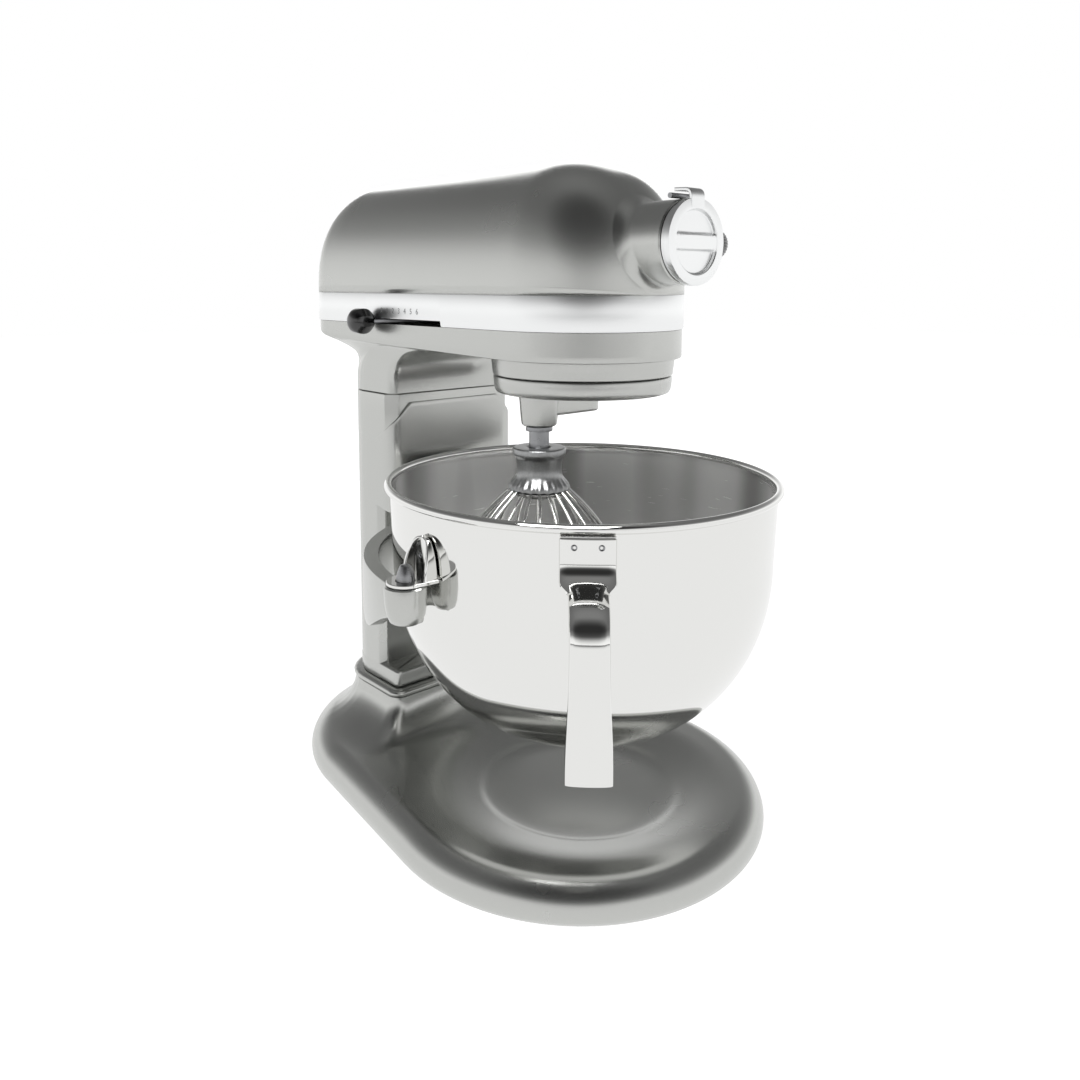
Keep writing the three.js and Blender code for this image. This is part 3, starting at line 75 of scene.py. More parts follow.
# %% Camera
camera = bpy.data.objects.new("camera", bpy.data.cameras.new("camera"))
bpy.context.scene.collection.objects.link(camera)
bpy.context.scene.camera = camera
camera.location = (-0.4098, -0.4667, 0.3470)
PITCH_DOWN = math.radians(6.376)
TURN = math.radians(-40.84)
camera.rotation_euler = (math.pi / 2 - PITCH_DOWN, 0, TURN)
camera.data.sensor_width = 36
camera.data.lens = 31.278
camera.data.shift_x = 0.0239
camera.data.shift_y = -0.1418
camera.data.clip_start = 0.01
print("camera with a", camera.data.lens, "mm lens")

# %% [markdown]
# ## Shapes from arrays
# These few helpers make every surface. An outline is a closed row of points seen from above, a profile
# is a row of [out, up] steps, and a grid of points becomes faces between neighbouring rows and columns.


# %% Outlines and profiles
def arc(x, y, radius, start, end, count):
    """Points on a circle about (x, y) from one angle to another, in degrees."""
    a = np.radians(np.linspace(start, end, count))
    return np.stack([x + radius * np.cos(a), y + radius * np.sin(a)], axis=-1)


def rounded(corners, radius, steps=6, closed=True):
    """A row of corners with each one eased: a curve that leaves one side `radius` before the corner and
    joins the next side `radius` after it, weighted between the three points as (1-s)^2, 2s(1-s), s^2."""
    p = np.asarray(corners, float)
    size = np.broadcast_to(np.asarray(radius, float), (len(p),))
    before, after = np.roll(p, 1, axis=0) - p, np.roll(p, -1, axis=0) - p
    near = np.maximum(np.linalg.norm(before, axis=1), 1e-9)
    far = np.maximum(np.linalg.norm(after, axis=1), 1e-9)
    cut_in = np.minimum(size, near * 0.49)[:, None] * before / near[:, None]
    cut_out = np.minimum(size, far * 0.49)[:, None] * after / far[:, None]
    s = np.linspace(0, 1, steps)[None, :, None]
    pull = p[:, None] * 2 * s * (1 - s)
    eased = (p + cut_in)[:, None] * (1 - s) ** 2 + pull + (p + cut_out)[:, None] * s**2
    if closed:
        return eased.reshape(-1, p.shape[1])
    return np.vstack([p[:1], eased[1:-1].reshape(-1, p.shape[1]), p[-1:]])


def resample(line, count, closed=False):
    """The same line with points at even steps along its length."""
    p = np.vstack([line, line[:1]]) if closed else np.asarray(line, float)
    along = np.concatenate([[0], np.cumsum(np.linalg.norm(np.diff(p, axis=0), axis=1))])
    where = np.linspace(0, along[-1], count + 1)[:-1] if closed else np.linspace(0, along[-1], count)
    return np.stack([np.interp(where, along, p[:, k]) for k in range(p.shape[1])], axis=-1)


def outward(outline):
    """Unit normals of an anticlockwise closed outline: its direction turned a quarter to the right."""
    along = np.roll(outline, -1, axis=0) - np.roll(outline, 1, axis=0)
    along = along / np.maximum(np.linalg.norm(along, axis=1, keepdims=True), 1e-9)
    return np.stack([along[:, 1], -along[:, 0]], axis=-1)


# %% Grids of points
def turned(profile, x=0.0, y=0.0, z=0.0, sides=96, axis="z"):
    """Each [radius, distance] of the profile swept once round an axis through (x, y, z)."""
    p = np.asarray(profile, float)
    a = np.linspace(0, 2 * np.pi, sides, endpoint=False)[None, :]
    along = np.broadcast_to(p[:, 1:2], (len(p), sides))
    ring = np.stack([p[:, :1] * np.cos(a), p[:, :1] * np.sin(a), along], axis=-1)
    order = {"z": (0, 1, 2), "y": (0, 2, 1), "x": (2, 0, 1)}[axis]
    return ring[..., order] + np.array([x, y, z])


def around(outline, profile):
    """A profile of [out, up] carried round a closed outline: each point moves out along the normal."""
    p = np.asarray(profile, float)[:, None, :]
    plan = outline[None] + outward(outline)[None] * p[..., :1]
    return np.concatenate([plan, np.broadcast_to(p[..., 1:], plan.shape[:2] + (1,))], axis=-1)


def carried(path, section, flat):
    """A closed section of [across, along `flat`] set square to a path in the plane across `flat`."""
    flat = np.asarray(flat, float)
    along = np.gradient(path, axis=0)
    along = along / np.linalg.norm(along, axis=1, keepdims=True)
    across = np.cross(along, flat)
    cuts = np.broadcast_to(section, (len(path),) + np.shape(section)[-2:])
    return path[:, None] + across[:, None] * cuts[..., :1] + flat * cuts[..., 1:]


def circle(radius, sides=12):
    """A closed round section."""
    return arc(0, 0, radius, 0, 360, sides + 1)[:-1]


def block(half_x, half_y, radius, steps=5):
    """A closed rectangular section with eased corners."""
    corners = [[-half_x, -half_y], [half_x, -half_y], [half_x, half_y], [-half_x, half_y]]
    return rounded(corners, radius, steps)


# %% Meshes and pieces
def skin(points, wrap=True, caps=False, finish=0):
    """Four-sided faces over a grid of points. wrap joins the last column to the first, and caps closes
    both end rows with a fan to their middle. finish is the number of the material on these faces."""
    rows, columns = points.shape[:2]
    index = np.arange(rows * columns).reshape(rows, columns)
    near = index if wrap else index[:, :-1]
    far = np.roll(index, -1, axis=1) if wrap else index[:, 1:]
    quads = np.stack([near[:-1], far[:-1], far[1:], near[1:]], axis=-1).reshape(-1, 4)
    places = points.reshape(-1, 3)
    fans = []
    if caps:
        for edge in (index[0], index[-1]):
            middle = np.full(columns, len(places))
            places = np.vstack([places, places[edge].mean(0)])
            fans.append(np.stack([edge, np.roll(edge, -1), middle], axis=-1))
    return places, quads, np.concatenate(fans) if fans else np.zeros((0, 3), int), finish


def piece(name, body, finishes, *skins, replaces=(), slot=None, wall=0.0, bevel=0.0, smooth=32):
    """One named object from several skins in millimetres. Points that meet are merged, faces are turned
    outwards, and a wall or a bevel is added as a modifier. It rides on a body of the frame."""
    counts = np.cumsum([0] + [len(s[0]) for s in skins])
    quads = [(s[1] + start).tolist() for s, start in zip(skins, counts)]
    fans = [(s[2] + start).tolist() for s, start in zip(skins, counts)]
    mesh = bpy.data.meshes.new(name)
    places = (np.vstack([s[0] for s in skins]) + AXIS) * MM
    faces = [face for q, f in zip(quads, fans) for face in q + f]
    mesh.from_pydata(places.tolist(), [], faces)
    numbers = np.concatenate([np.full(len(s[1]) + len(s[2]), s[3]) for s in skins])
    for material in finishes:
        mesh.materials.append(material)
    mesh.polygons.foreach_set("material_index", numbers.astype(np.int32))
    work = bmesh.new()
    work.from_mesh(mesh)
    bmesh.ops.remove_doubles(work, verts=work.verts, dist=2e-6)
    bmesh.ops.recalc_face_normals(work, faces=work.faces)
    work.to_mesh(mesh)
    work.free()
    mesh.polygons.foreach_set("use_smooth", np.ones(len(mesh.polygons), bool))
    mesh.set_sharp_from_angle(angle=math.radians(smooth))
    made = bpy.data.objects.new(name, mesh)
    bpy.context.scene.collection.objects.link(made)
    if wall:
        solid = made.modifiers.new("wall", "SOLIDIFY")
        solid.thickness = wall * MM
        solid.offset = -1
    if bevel:
        edge = made.modifiers.new("edge", "BEVEL")
        edge.width = bevel * MM
        edge.segments = 2
        edge.limit_method = "ANGLE"
    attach(made, body)
    if replaces:
        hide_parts(*replaces)
    print(name, "has", len(mesh.polygons), "faces")
    return made


# %% [markdown]
# ## Finishes
# Each finish starts from what the real material is. Colours are written as the sRGB hex values that a
# maker would quote. Patterns read Object coordinates, so their scale is one over a size in metres.


# %% Colours and nodes
def linear(code):
    """A hex colour turned from sRGB to the linear values that a shader takes."""
    srgb = [int(code[i : i + 2], 16) / 255 for i in (1, 3, 5)]
    return tuple(c / 12.92 if c <= 0.04045 else ((c + 0.055) / 1.055) ** 2.4 for c in srgb) + (1.0,)


def node(tree, kind, inputs=None, **settings):
    """Adds a node, sets its settings, and fills its inputs with values or with another node's output."""
    made = tree.nodes.new(kind)
    for key, value in settings.items():
        setattr(made, key, value)
    for key, value in (inputs or {}).items():
        if isinstance(value, bpy.types.NodeSocket):
            tree.links.new(value, made.inputs[key])
        else:
            made.inputs[key].default_value = value
    return made


def material(name, **sockets):
    """A material with one shader whose sockets are set by name. Returns it, its tree and its shader."""
    made = bpy.data.materials.new(name)
    made.use_nodes = True
    tree = made.node_tree
    tree.nodes.clear()
    shader = node(tree, "ShaderNodeBsdfPrincipled", {k.replace("_", " "): v for k, v in sockets.items()})
    node(tree, "ShaderNodeOutputMaterial", {"Surface": shader.outputs[0]})
    return made, tree, shader


def noise(tree, size_mm, stretch=(1, 1, 1), detail=2.0):
    """Noise whose grains are size_mm across, stretched by a factor along each axis."""
    place = node(tree, "ShaderNodeTexCoord")
    scaled = node(tree, "ShaderNodeMapping", {"Vector": place.outputs["Object"]})
    scaled.inputs["Scale"].default_value = [1 / (size_mm * MM * s) for s in stretch]
    return node(tree, "ShaderNodeTexNoise", {"Vector": scaled.outputs[0], "Scale": 1.0, "Detail": detail})


def vary(tree, shader, socket, source, low, high):
    """Lets a pattern move one of the shader's values between low and high."""
    ranged = node(tree, "ShaderNodeMapRange", {"Value": source, "To Min": low, "To Max": high})
    tree.links.new(ranged.outputs[0], shader.inputs[socket])


def tint(tree, shader, source, dark, light, start=0.0, stop=1.0):
    """Lets a pattern move the base colour between two hex colours, from one of its values to another."""
    ramp = node(tree, "ShaderNodeValToRGB", {"Fac": source})
    ramp.color_ramp.elements[0].position = start
    ramp.color_ramp.elements[1].position = stop
    ramp.color_ramp.elements[0].color = linear(dark)
    ramp.color_ramp.elements[1].color = linear(light)
    tree.links.new(ramp.outputs[0], shader.inputs["Base Color"])


def relief(tree, shader, source, strength, depth_mm):
    """Raises the surface by a pattern, depth_mm at most."""
    bump = node(tree, "ShaderNodeBump", {"Height": source, "Strength": strength, "Distance": depth_mm * MM})
    tree.links.new(bump.outputs[0], shader.inputs["Normal"])


# %% Painted casting and polished steel
def nickel_paint():
    """Satin metallic stove enamel over a die casting. Aluminium flakes of about 0.1 mm give it a soft
    sparkle; they are drawn at 0.5 mm, as fine as a whole view of the mixer can show."""
    made, tree, shader = material("nickel_paint", Metallic=0.92, Coat_Weight=0.18, Coat_Roughness=0.22)
    flakes = noise(tree, 0.5, detail=1.0)
    clouds = noise(tree, 40)
    tint(tree, shader, flakes.outputs[0], "#BABBB8", "#C8C9C6")
    vary(tree, shader, "Roughness", clouds.outputs[0], 0.24, 0.29)
    relief(tree, shader, flakes.outputs[0], 0.25, 0.02)
    return made


def polished_steel():
    """Mirror-polished stainless steel. The buffing wheel leaves faint broad waves and hairlines."""
    made, tree, shader = material("polished_stainless_steel", Metallic=1.0, Base_Color=linear("#E6E6E4"))
    hairs = noise(tree, 0.6, (1, 1, 14))
    vary(tree, shader, "Roughness", hairs.outputs[0], 0.035, 0.07)
    waves = noise(tree, 35, detail=0.0)
    relief(tree, shader, waves.outputs[0], 0.15, 0.15)
    return made


def spun_steel():
    """Stainless steel brushed round the inside of the bowl: lines 0.2 mm apart, drawn 0.5 mm apart, that
    run round the wall and stretch what they reflect up and down. Broad upright light and dark bands in
    the base colour are painted reflection streaks, and a share of plain diffuse light stands for the
    scatter of the fine lines."""
    made, tree, shader = material("brushed_stainless_steel", Metallic=0.65, Anisotropic=0.85)
    round_wall = node(tree, "ShaderNodeTangent", direction_type="RADIAL", axis="Z")
    tree.links.new(round_wall.outputs[0], shader.inputs["Tangent"])
    # painted reflection streaks: tall bands of dark and light base colour stand in for the stretched
    # reflections
    reflection_streaks = noise(tree, 55, (1, 1, 12), detail=1.0)
    tint(tree, shader, reflection_streaks.outputs[0], "#8A8A88", "#FBFBFA", 0.38, 0.6)
    lines = noise(tree, 0.5, (60, 60, 1))
    vary(tree, shader, "Roughness", lines.outputs[0], 0.20, 0.30)
    relief(tree, shader, lines.outputs[0], 0.35, 0.03)
    return made


def brushed_aluminium():
    """Anodised aluminium strip, brushed along its length, for the band, the cover and the levers."""
    made, tree, shader = material("brushed_aluminium", Metallic=1.0, Base_Color=linear("#F0F1F1"))
    lines = noise(tree, 0.35, (40, 40, 1))
    vary(tree, shader, "Roughness", lines.outputs[0], 0.26, 0.32)
    relief(tree, shader, lines.outputs[0], 0.08, 0.01)
    return made


def machined_steel():
    """Turned and ground steel with fine tool marks."""
    made, tree, shader = material("machined_steel", Metallic=1.0, Base_Color=linear("#9A9B9D"))
    marks = noise(tree, 0.4, (6, 6, 1))
    vary(tree, shader, "Roughness", marks.outputs[0], 0.22, 0.38)
    relief(tree, shader, marks.outputs[0], 0.2, 0.02)
    return made


def cast_aluminium():
    """Burnished cast aluminium of the whisk's hub, darker in its pores."""
    made, tree, shader = material("burnished_cast_aluminium", Metallic=1.0)
    pores = noise(tree, 1.2, detail=4.0)
    tint(tree, shader, pores.outputs[0], "#8E8F8F", "#B4B5B5")
    vary(tree, shader, "Roughness", pores.outputs[0], 0.26, 0.4)
    relief(tree, shader, pores.outputs[0], 0.25, 0.05)
    return made


# %% Plastics, rubber and the inner metals
def plain(name, base, low, high, size_mm, depth_mm, **sockets):
    """A moulded, wound or machined finish with one colour and a fine grain of size_mm."""
    made, tree, shader = material(name, Base_Color=linear(base), **sockets)
    grain = noise(tree, size_mm, detail=3.0)
    vary(tree, shader, "Roughness", grain.outputs[0], low, high)
    relief(tree, shader, grain.outputs[0], 0.3, depth_mm)
    return made


PAINT = nickel_paint()
POLISHED = polished_steel()
SPUN = spun_steel()
SILVER = brushed_aluminium()
STEEL = machined_steel()
CAST = cast_aluminium()
BLACK = plain(
    "black_phenolic", "#0C0C0D", 0.14, 0.22, 8, 0.01, IOR=1.55, Coat_Weight=0.6, Coat_Roughness=0.06
)
RUBBER = plain("black_rubber", "#161616", 0.7, 0.85, 0.8, 0.06, IOR=1.52)
CARBON = plain("carbon", "#232326", 0.5, 0.7, 0.6, 0.05)
BRONZE = plain("phosphor_bronze", "#A9773F", 0.25, 0.4, 0.7, 0.03, Metallic=1.0)
COPPER = plain("copper_winding", "#B4653A", 0.3, 0.45, 0.9, 0.08, Metallic=1.0)
LAMINATE = plain("green_circuit_laminate", "#1F5B38", 0.35, 0.5, 1.5, 0.02, IOR=1.5)
INK = plain("grey_printing_ink", "#8A8B8C", 0.45, 0.6, 0.5, 0.01)
print(len(bpy.data.materials), "finishes")

# %% [markdown]
# ## The base
# The base is one zinc casting: a broad oval dish in front, a rounded rim all round, and a boot at the back
# that sweeps up to the column. All three are one height over the plan, so the blends come out smooth.
# The grid runs from the column's foot out to the rim along straight spokes.

# %% Plans of the base and of the column
base_low, base_high = span("base")
column_low, column_high = span("column")
RIM_TOP = 29.0
RIM_WIDEST = 14.0
RIM_ROUND = 15.0
FRONT_RADIUS = base_high[0]
FRONT_Y = base_low[1] + FRONT_RADIUS
REAR_RADIUS = 111.0
REAR_Y = base_high[1] - REAR_RADIUS
SPOKE_CENTRE = np.array([0.0, 156.0])
FOOT_FRONT = column_low[1]
COLUMN_HALF = column_high[0]
COLUMN_REAR = column_high[1]


def base_plan(inset=0.0):
    """Two circles of different size and the straight lines that touch both."""
    front, rear = FRONT_RADIUS - inset, REAR_RADIUS - inset
    tilt = math.degrees(math.asin((front - rear) / (REAR_Y - FRONT_Y)))
    return np.vstack([
        arc(0, FRONT_Y, front, 180 - tilt, 360 + tilt, 160),
        arc(0, REAR_Y, rear, tilt, 180 - tilt, 120),
    ])


def block_plan(half, front, rear, front_corner, rear_corner, steps=9):
    """A rectangle about x = 0 with its own corner radii in front and behind, anticlockwise."""
    return np.vstack([
        arc(front_corner - half, front + front_corner, front_corner, 180, 270, steps),
        arc(half - front_corner, front + front_corner, front_corner, 270, 360, steps),
        arc(half - rear_corner, rear - rear_corner, rear_corner, 0, 90, steps),
        arc(rear_corner - half, rear - rear_corner, rear_corner, 90, 180, steps),
    ])


def reach(outline, angles):
    """How far an outline lies from the spoke centre in each direction, read off its dense points."""
    dense = resample(outline, 2400, closed=True) - SPOKE_CENTRE
    around_it = np.arctan2(dense[:, 1], dense[:, 0])
    order = np.argsort(around_it)
    return np.interp(angles, around_it[order], np.hypot(*dense[order].T), period=2 * np.pi)


print("base", np.round(base_high - base_low, 1), "mm")

# %% The base as a height over its plan
DISH_RADIUS = 97.0
DISH_DEPTH = 7.0
DISH_FLOOR = 48.0
STEP_DEPTH = 0.9
STEP_INNER = 60.0
STEP_OUTER = 65.0
BOOT_TOP = base_high[2]
BEAD = 5.0
BEAD_OUT = 3.4
BOOT_OUT = 4.8
SPOKES = 384


def rise(share):
    """A quarter-circle hollow that falls from 1 at share 0 to 0 at share 1."""
    return 1 - np.sqrt(np.clip(1 - (1 - np.clip(share, 0, 1)) ** 2, 0, 1))


def soft_step(value, start, end):
    """0 before start, 1 after end and half a cosine wave in between."""
    return 0.5 - 0.5 * np.cos(np.pi * np.clip((value - start) / (end - start), 0, 1))


def depth_in(x, y):
    """Distance in from the rim: the most that any circle between the front and the rear one covers."""
    t = np.linspace(0, 1, 41)[:, None, None]
    away = np.hypot(x[None], y[None] - (FRONT_Y + (REAR_Y - FRONT_Y) * t))
    return (FRONT_RADIUS + (REAR_RADIUS - FRONT_RADIUS) * t - away).max(axis=0)


def base_height(x, y, boot_distance, boot_width):
    """Rim, dish and boot added up. The rim is a quarter ellipse, the dish a cosine bowl with one low step,
    and the boot a quarter-circle hollow in the distance from the column's foot."""
    inside = np.clip(depth_in(x, y) / RIM_ROUND, 0, 1)
    rim = RIM_WIDEST + (RIM_TOP - RIM_WIDEST) * np.sqrt(1 - (1 - inside) ** 2)
    radius = np.hypot(x, y)
    dish = -DISH_DEPTH * (1 - soft_step(radius, DISH_FLOOR, DISH_RADIUS))
    step = -STEP_DEPTH * (1 - soft_step(radius, STEP_INNER, STEP_OUTER))
    boot = (BOOT_TOP - BEAD - RIM_TOP) * rise(boot_distance / boot_width)
    return rim + dish + step + boot


def foot_reach(out):
    """How far the outline of the column's foot, moved out, lies from the spoke centre on each spoke."""
    return reach(block_plan(COLUMN_HALF + out, FOOT_FRONT - out, COLUMN_REAR + out, 9, 34), spoke)


def spoke_ring(distances, up):
    """One ring of the grid: a distance along each spoke, all at one height."""
    return np.column_stack([SPOKE_CENTRE + distances[:, None] * toward, np.full(SPOKES, up)])


spoke = np.linspace(-np.pi, np.pi, SPOKES, endpoint=False)
toward = np.stack([np.cos(spoke), np.sin(spoke)], axis=-1)
boot_reach = foot_reach(BOOT_OUT)
rim_reach = reach(base_plan(), spoke)
share = (0.5 - 0.5 * np.cos(np.pi * np.linspace(0, 1, 110)))[:, None]
distance = boot_reach + (rim_reach - boot_reach) * share
plan = SPOKE_CENTRE + distance[..., None] * toward
boot_width = 21 + 17 * soft_step(-np.sin(spoke), -0.95, 0.1)
height = base_height(plan[..., 0], plan[..., 1], distance - boot_reach, boot_width)
top_rows = np.concatenate([plan, height[..., None]], axis=-1)

# %% Bead, skirt and underside
bead_turn = np.linspace(0, np.pi, 9)[1:]
bead = [(BEAD_OUT + 2.4 * math.sin(a), BOOT_TOP - BEAD / 2 + BEAD / 2 * math.cos(a)) for a in bead_turn]
bead = [(-3.0, BOOT_TOP), (BEAD_OUT, BOOT_TOP)] + bead
bead_rows = [spoke_ring(foot_reach(out), up) for out, up in bead]
tuck = np.linspace(0, np.pi / 2, 9)[1:]
skirt = [(9 * (1 - math.cos(a)), RIM_WIDEST - 10 * math.sin(a)) for a in tuck]
hollow = [(14, 4), (16, 6), (18, 14), (70, 15)]
skirt_rows = [spoke_ring(reach(base_plan(inset), spoke), up) for inset, up in skirt + hollow]
base_points = np.concatenate([np.array(bead_rows), top_rows, np.array(skirt_rows)])
piece(
    "base_casting", "stand", [PAINT], skin(base_points, caps=True), replaces=["base"], slot="cast_paint",
    smooth=50
)

# %% [markdown]
# ## Feet
# Five soft rubber feet sit in pockets under the base. Each is a low turned pad with a rounded edge and a
# shallow sucker-like hollow, so it is a profile turned about its own axis.

# %% Feet
for name in ("foot_front", "foot_mid_left", "foot_mid_right", "foot_rear_left", "foot_rear_right"):
    low, high = span(name)
    middle, radius = (low + high) / 2, (high[0] - low[0]) / 2
    corners = [[0, 0.8], [radius - 4, 0], [radius, 0], [radius, 7.6], [0, 7.6]]
    pad = rounded(corners, [0, 1, 1.6, 0.6, 0], 5, closed=False)
    turned_pad = turned(pad, middle[0], middle[1], sides=40)
    piece(name + "_pad", "stand", [RUBBER], skin(turned_pad), replaces=[name], slot="rubber")

# %% [markdown]
# ## The column
# The column is a tall casting with flat sides, a small flat between its side and its front, and a foot
# block that reaches forward. A separate cover wraps its upper front: the cover's edge climbs from the
# sides to a chamfered top, and a thin joint shows all along it.

# %% Column casting and its collar
plate_low, plate_high = span("column_front_plate")
NECK_FRONT = plate_low[1] - 3
BODY_FRONT = plate_high[1] + 0.4
CORNER_FLAT = 4.5


def column_plan(front, flat=CORNER_FLAT, rear_corner=30):
    """The column's outline: a flat across each front corner and round corners behind."""
    half = COLUMN_HALF
    fronts = [[-half, front + flat], [flat - half, front], [half - flat, front], [half, front + flat]]
    rears = arc(half - rear_corner, COLUMN_REAR - rear_corner, rear_corner, 0, 90, 12)
    return np.vstack([rounded(fronts, 0.8, 4, closed=False), rears, rears[::-1] * [-1, 1]])


def raised(outline, low, high, edge=1.0):
    """An outline raised from low to high with its upper and lower edges eased."""
    bend = np.linspace(0, np.pi / 2, 5)
    down = [[-edge * (1 - math.sin(a)), low + edge * (1 - math.cos(a))] for a in bend]
    up = [[-edge * (1 - math.cos(a)), high - edge * (1 - math.sin(a))] for a in bend]
    return skin(around(outline, [[-6, low]] + down + up + [[-6, high]]), caps=True)


COLLAR_BOTTOM = plate_high[2] - 24
COLLAR_GROWTH = 1.0015
COLUMN_TOP = column_high[2] - 0.1
FOOT_PROUD = 0.25
foot_plan = block_plan(COLUMN_HALF + FOOT_PROUD, FOOT_FRONT, COLUMN_REAR + FOOT_PROUD, 5, 30)
collar_plan = column_plan(NECK_FRONT + 1.4, 7) * COLLAR_GROWTH - [0, 0.2]
piece(
    "column_casting", "stand", [PAINT],
    raised(column_plan(BODY_FRONT), column_low[2], COLUMN_TOP - 0.1, 0.5),
    raised(foot_plan, column_low[2], column_low[2] + 12, 2.0),
    raised(collar_plan, COLLAR_BOTTOM, COLUMN_TOP, 0.5),
    replaces=["column"], slot="cast_paint",
)

# %% Front cover of the column
COVER_REAR = 163.0
COVER_PROUD = 0.9
COVER_TOP = plate_high[2] + 1.5
COVER_CHAMFER = 16.0


def cover_line(count=90):
    """The cover's plan, open behind: back along one side, round the front and along the other side."""
    half, front = COLUMN_HALF + COVER_PROUD, NECK_FRONT
    corners = [[-half, COVER_REAR], [-half, front], [half, front], [half, COVER_REAR]]
    return resample(rounded(corners, [0, 11, 11, 0], 14, closed=False), count)


line = cover_line()
side_share = np.clip((line[:, 1] - NECK_FRONT - 4) / (COVER_REAR - NECK_FRONT - 4), 0, 1)
chamfer_share = (np.abs(line[:, 0]) - (COLUMN_HALF - COVER_CHAMFER)) / COVER_CHAMFER
corner_drop = COVER_CHAMFER * np.clip(chamfer_share, 0, 1)
cover_top = COVER_TOP - corner_drop - 14 * side_share**0.8
cover_bottom = plate_low[2] + 6 * side_share
up = np.linspace(0, 1, 24)[:, None]
cover_z = cover_bottom + (cover_top - cover_bottom) * up
cover = np.stack([line[:, 0] + 0 * up, line[:, 1] + 0 * up, cover_z], axis=-1)
piece(
    "column_front_cover", "stand", [PAINT], skin(cover, wrap=False),
    replaces=["column_front_plate"], slot="cast_paint", wall=-2.0, bevel=0.5,
)

# %% [markdown]
# ## The motor head
# Across, the head is a flattened arch: a superellipse whose height follows the dome in front and the
# rounding at the back. Seen from above it is a half circle, straight sides and round rear corners. The
# shell is an open surface that a Solidify modifier gives its wall.

# %% Arches of the head
band_low, band_high = span("trim_band")
cover_low, cover_high = span("end_cover")
HALF = band_high[0]
REAR = cover_high[1]
SPRING = band_high[2]
TOP = span("motor_housing")[1][2]
CORNER = 25.0
REAR_EDGE = 43.0
APEX = 4.0
SECTION = 2.5
DOME = 2.15


def half_width(y):
    """Half the width of the head's plan at each y: a half circle in front and round corners behind."""
    front = np.sqrt(np.clip(HALF**2 - np.minimum(y, 0) ** 2, 0, None))
    into = np.clip(y - (REAR - CORNER), 0, CORNER)
    behind = HALF - CORNER + np.sqrt(CORNER**2 - into**2)
    return np.where(y < 0, front, behind)


def crest(y):
    """Height of the arch above its springing at each y: dome in front, level, then rounded down behind."""
    fall = np.clip((APEX - y) / (APEX + HALF), 0, 1)
    over = np.clip((y - (REAR - REAR_EDGE)) / REAR_EDGE, 0, 1)
    return (TOP - SPRING) * (1 - fall**DOME) ** (1 / DOME) - REAR_EDGE * (1 - np.sqrt(1 - over**2))


def arches(y, bottom=None, steps=88):
    """One arch at each y: x and z are the superellipse w cos^(2/n), h sin^(2/n) of an even angle. A bottom
    adds straight sides below the springing."""
    a = np.linspace(0, np.pi, steps)[None, :]
    c, s = np.cos(a), np.sin(a)
    width, rise_here = half_width(y)[:, None], crest(y)[:, None]
    x = width * np.sign(c) * np.abs(c) ** (2 / SECTION)
    z = SPRING + rise_here * np.clip(s, 0, 1) ** (2 / SECTION)
    rows = np.stack([x, np.broadcast_to(y[:, None], x.shape), z], axis=-1)
    if bottom is None:
        return rows
    feet = rows[:, [0, -1]].copy()
    feet[..., 2] = bottom
    return np.concatenate([feet[:, :1], rows, feet[:, 1:]], axis=1)


# %% Motor housing
SEAM = cover_low[1]
SEAM_GAP = 0.25
nose = -HALF * np.cos(np.linspace(0, np.pi / 2, 64))
stations = np.concatenate([nose, np.linspace(0, SEAM - SEAM_GAP, 60)[1:]])
piece(
    "motor_housing_shell", "stand", [PAINT], skin(arches(stations), wrap=False),
    replaces=["motor_housing"], slot="cast_paint", wall=2.6, smooth=50,
)

# %% End cover
COVER_BOTTOM = band_low[2] + 0.5
OVER_BAND = np.array([0, 0.5, 0])
tail = REAR - REAR_EDGE + REAR_EDGE * np.sin(np.linspace(0, np.pi / 2, 60))
tail = np.concatenate([[SEAM + SEAM_GAP], tail[tail > SEAM + 1.0]])
sides = arches(tail, COVER_BOTTOM)
half_arch = sides.shape[1] // 2
left, right = sides[-1, :half_arch, None], sides[-1, ::-1][:half_arch, None]
across = np.linspace(0, 1, 25)[None, :, None]
flat_back = left * (1 - across) + right * across + OVER_BAND
sides = sides + OVER_BAND * soft_step(sides[..., 1:2], SEAM + 2, REAR)
end_cover = piece(
    "end_cover_shell", "stand", [PAINT],
    skin(sides, wrap=False), skin(flat_back, wrap=False),
    replaces=["end_cover"], slot="cast_paint", wall=2.2, smooth=50,
)

# %% [markdown]
# ## Gear case
# Under the bright band the head narrows into the gear case: an upright wall, a crease, then a soft run in
# to the flat side of the neck, with a round turret for the bowl's drip ring in front. The lower part is a
# loft between two outlines of equal point count.

# %% Upright wall and run in to the neck
CREASE_FRONT = 301.5
CREASE_REAR = 306.0
COVE_FRONT = 74.0
COVE_END = 272.0
COVE_INSET = 2.6
NECK_BOTTOM = span("gear_case")[0][2]
WALL_TOP = band_low[2] - 0.3


def head_plan(inset=0.0, count=320):
    """The head seen from above: half circle in front, straight sides and round rear corners."""
    half, rear, corner = HALF - inset, REAR - inset, CORNER - inset
    outline = np.vstack([
        arc(0, 0, half, 180, 360, 100),
        arc(half - corner, rear - corner, corner, 0, 90, 24),
        arc(corner - half, rear - corner, corner, 90, 180, 24),
    ])
    return resample(outline, count, closed=True)


def neck_plan(half, front, rear, count=320):
    """The neck seen from above, started on its left side so that its points pair up with the head's."""
    outline = block_plan(half, front, rear, 6, 30)
    start = int(np.argmin(np.hypot(outline[:, 0] + half, outline[:, 1] - (front + 10))))
    return resample(np.roll(outline, -start, axis=0), count, closed=True)


def crease_height(y):
    """The crease climbs slowly to the rear and faster round the rear corners."""
    return CREASE_FRONT + (CREASE_REAR - CREASE_FRONT) * np.clip(y / 190, 0, 1) + 6.0 * soft_step(y, 196, 234)


def with_height(outline, z):
    """An outline seen from above with a height for each of its points."""
    return np.column_stack([outline, np.broadcast_to(z, len(outline))])


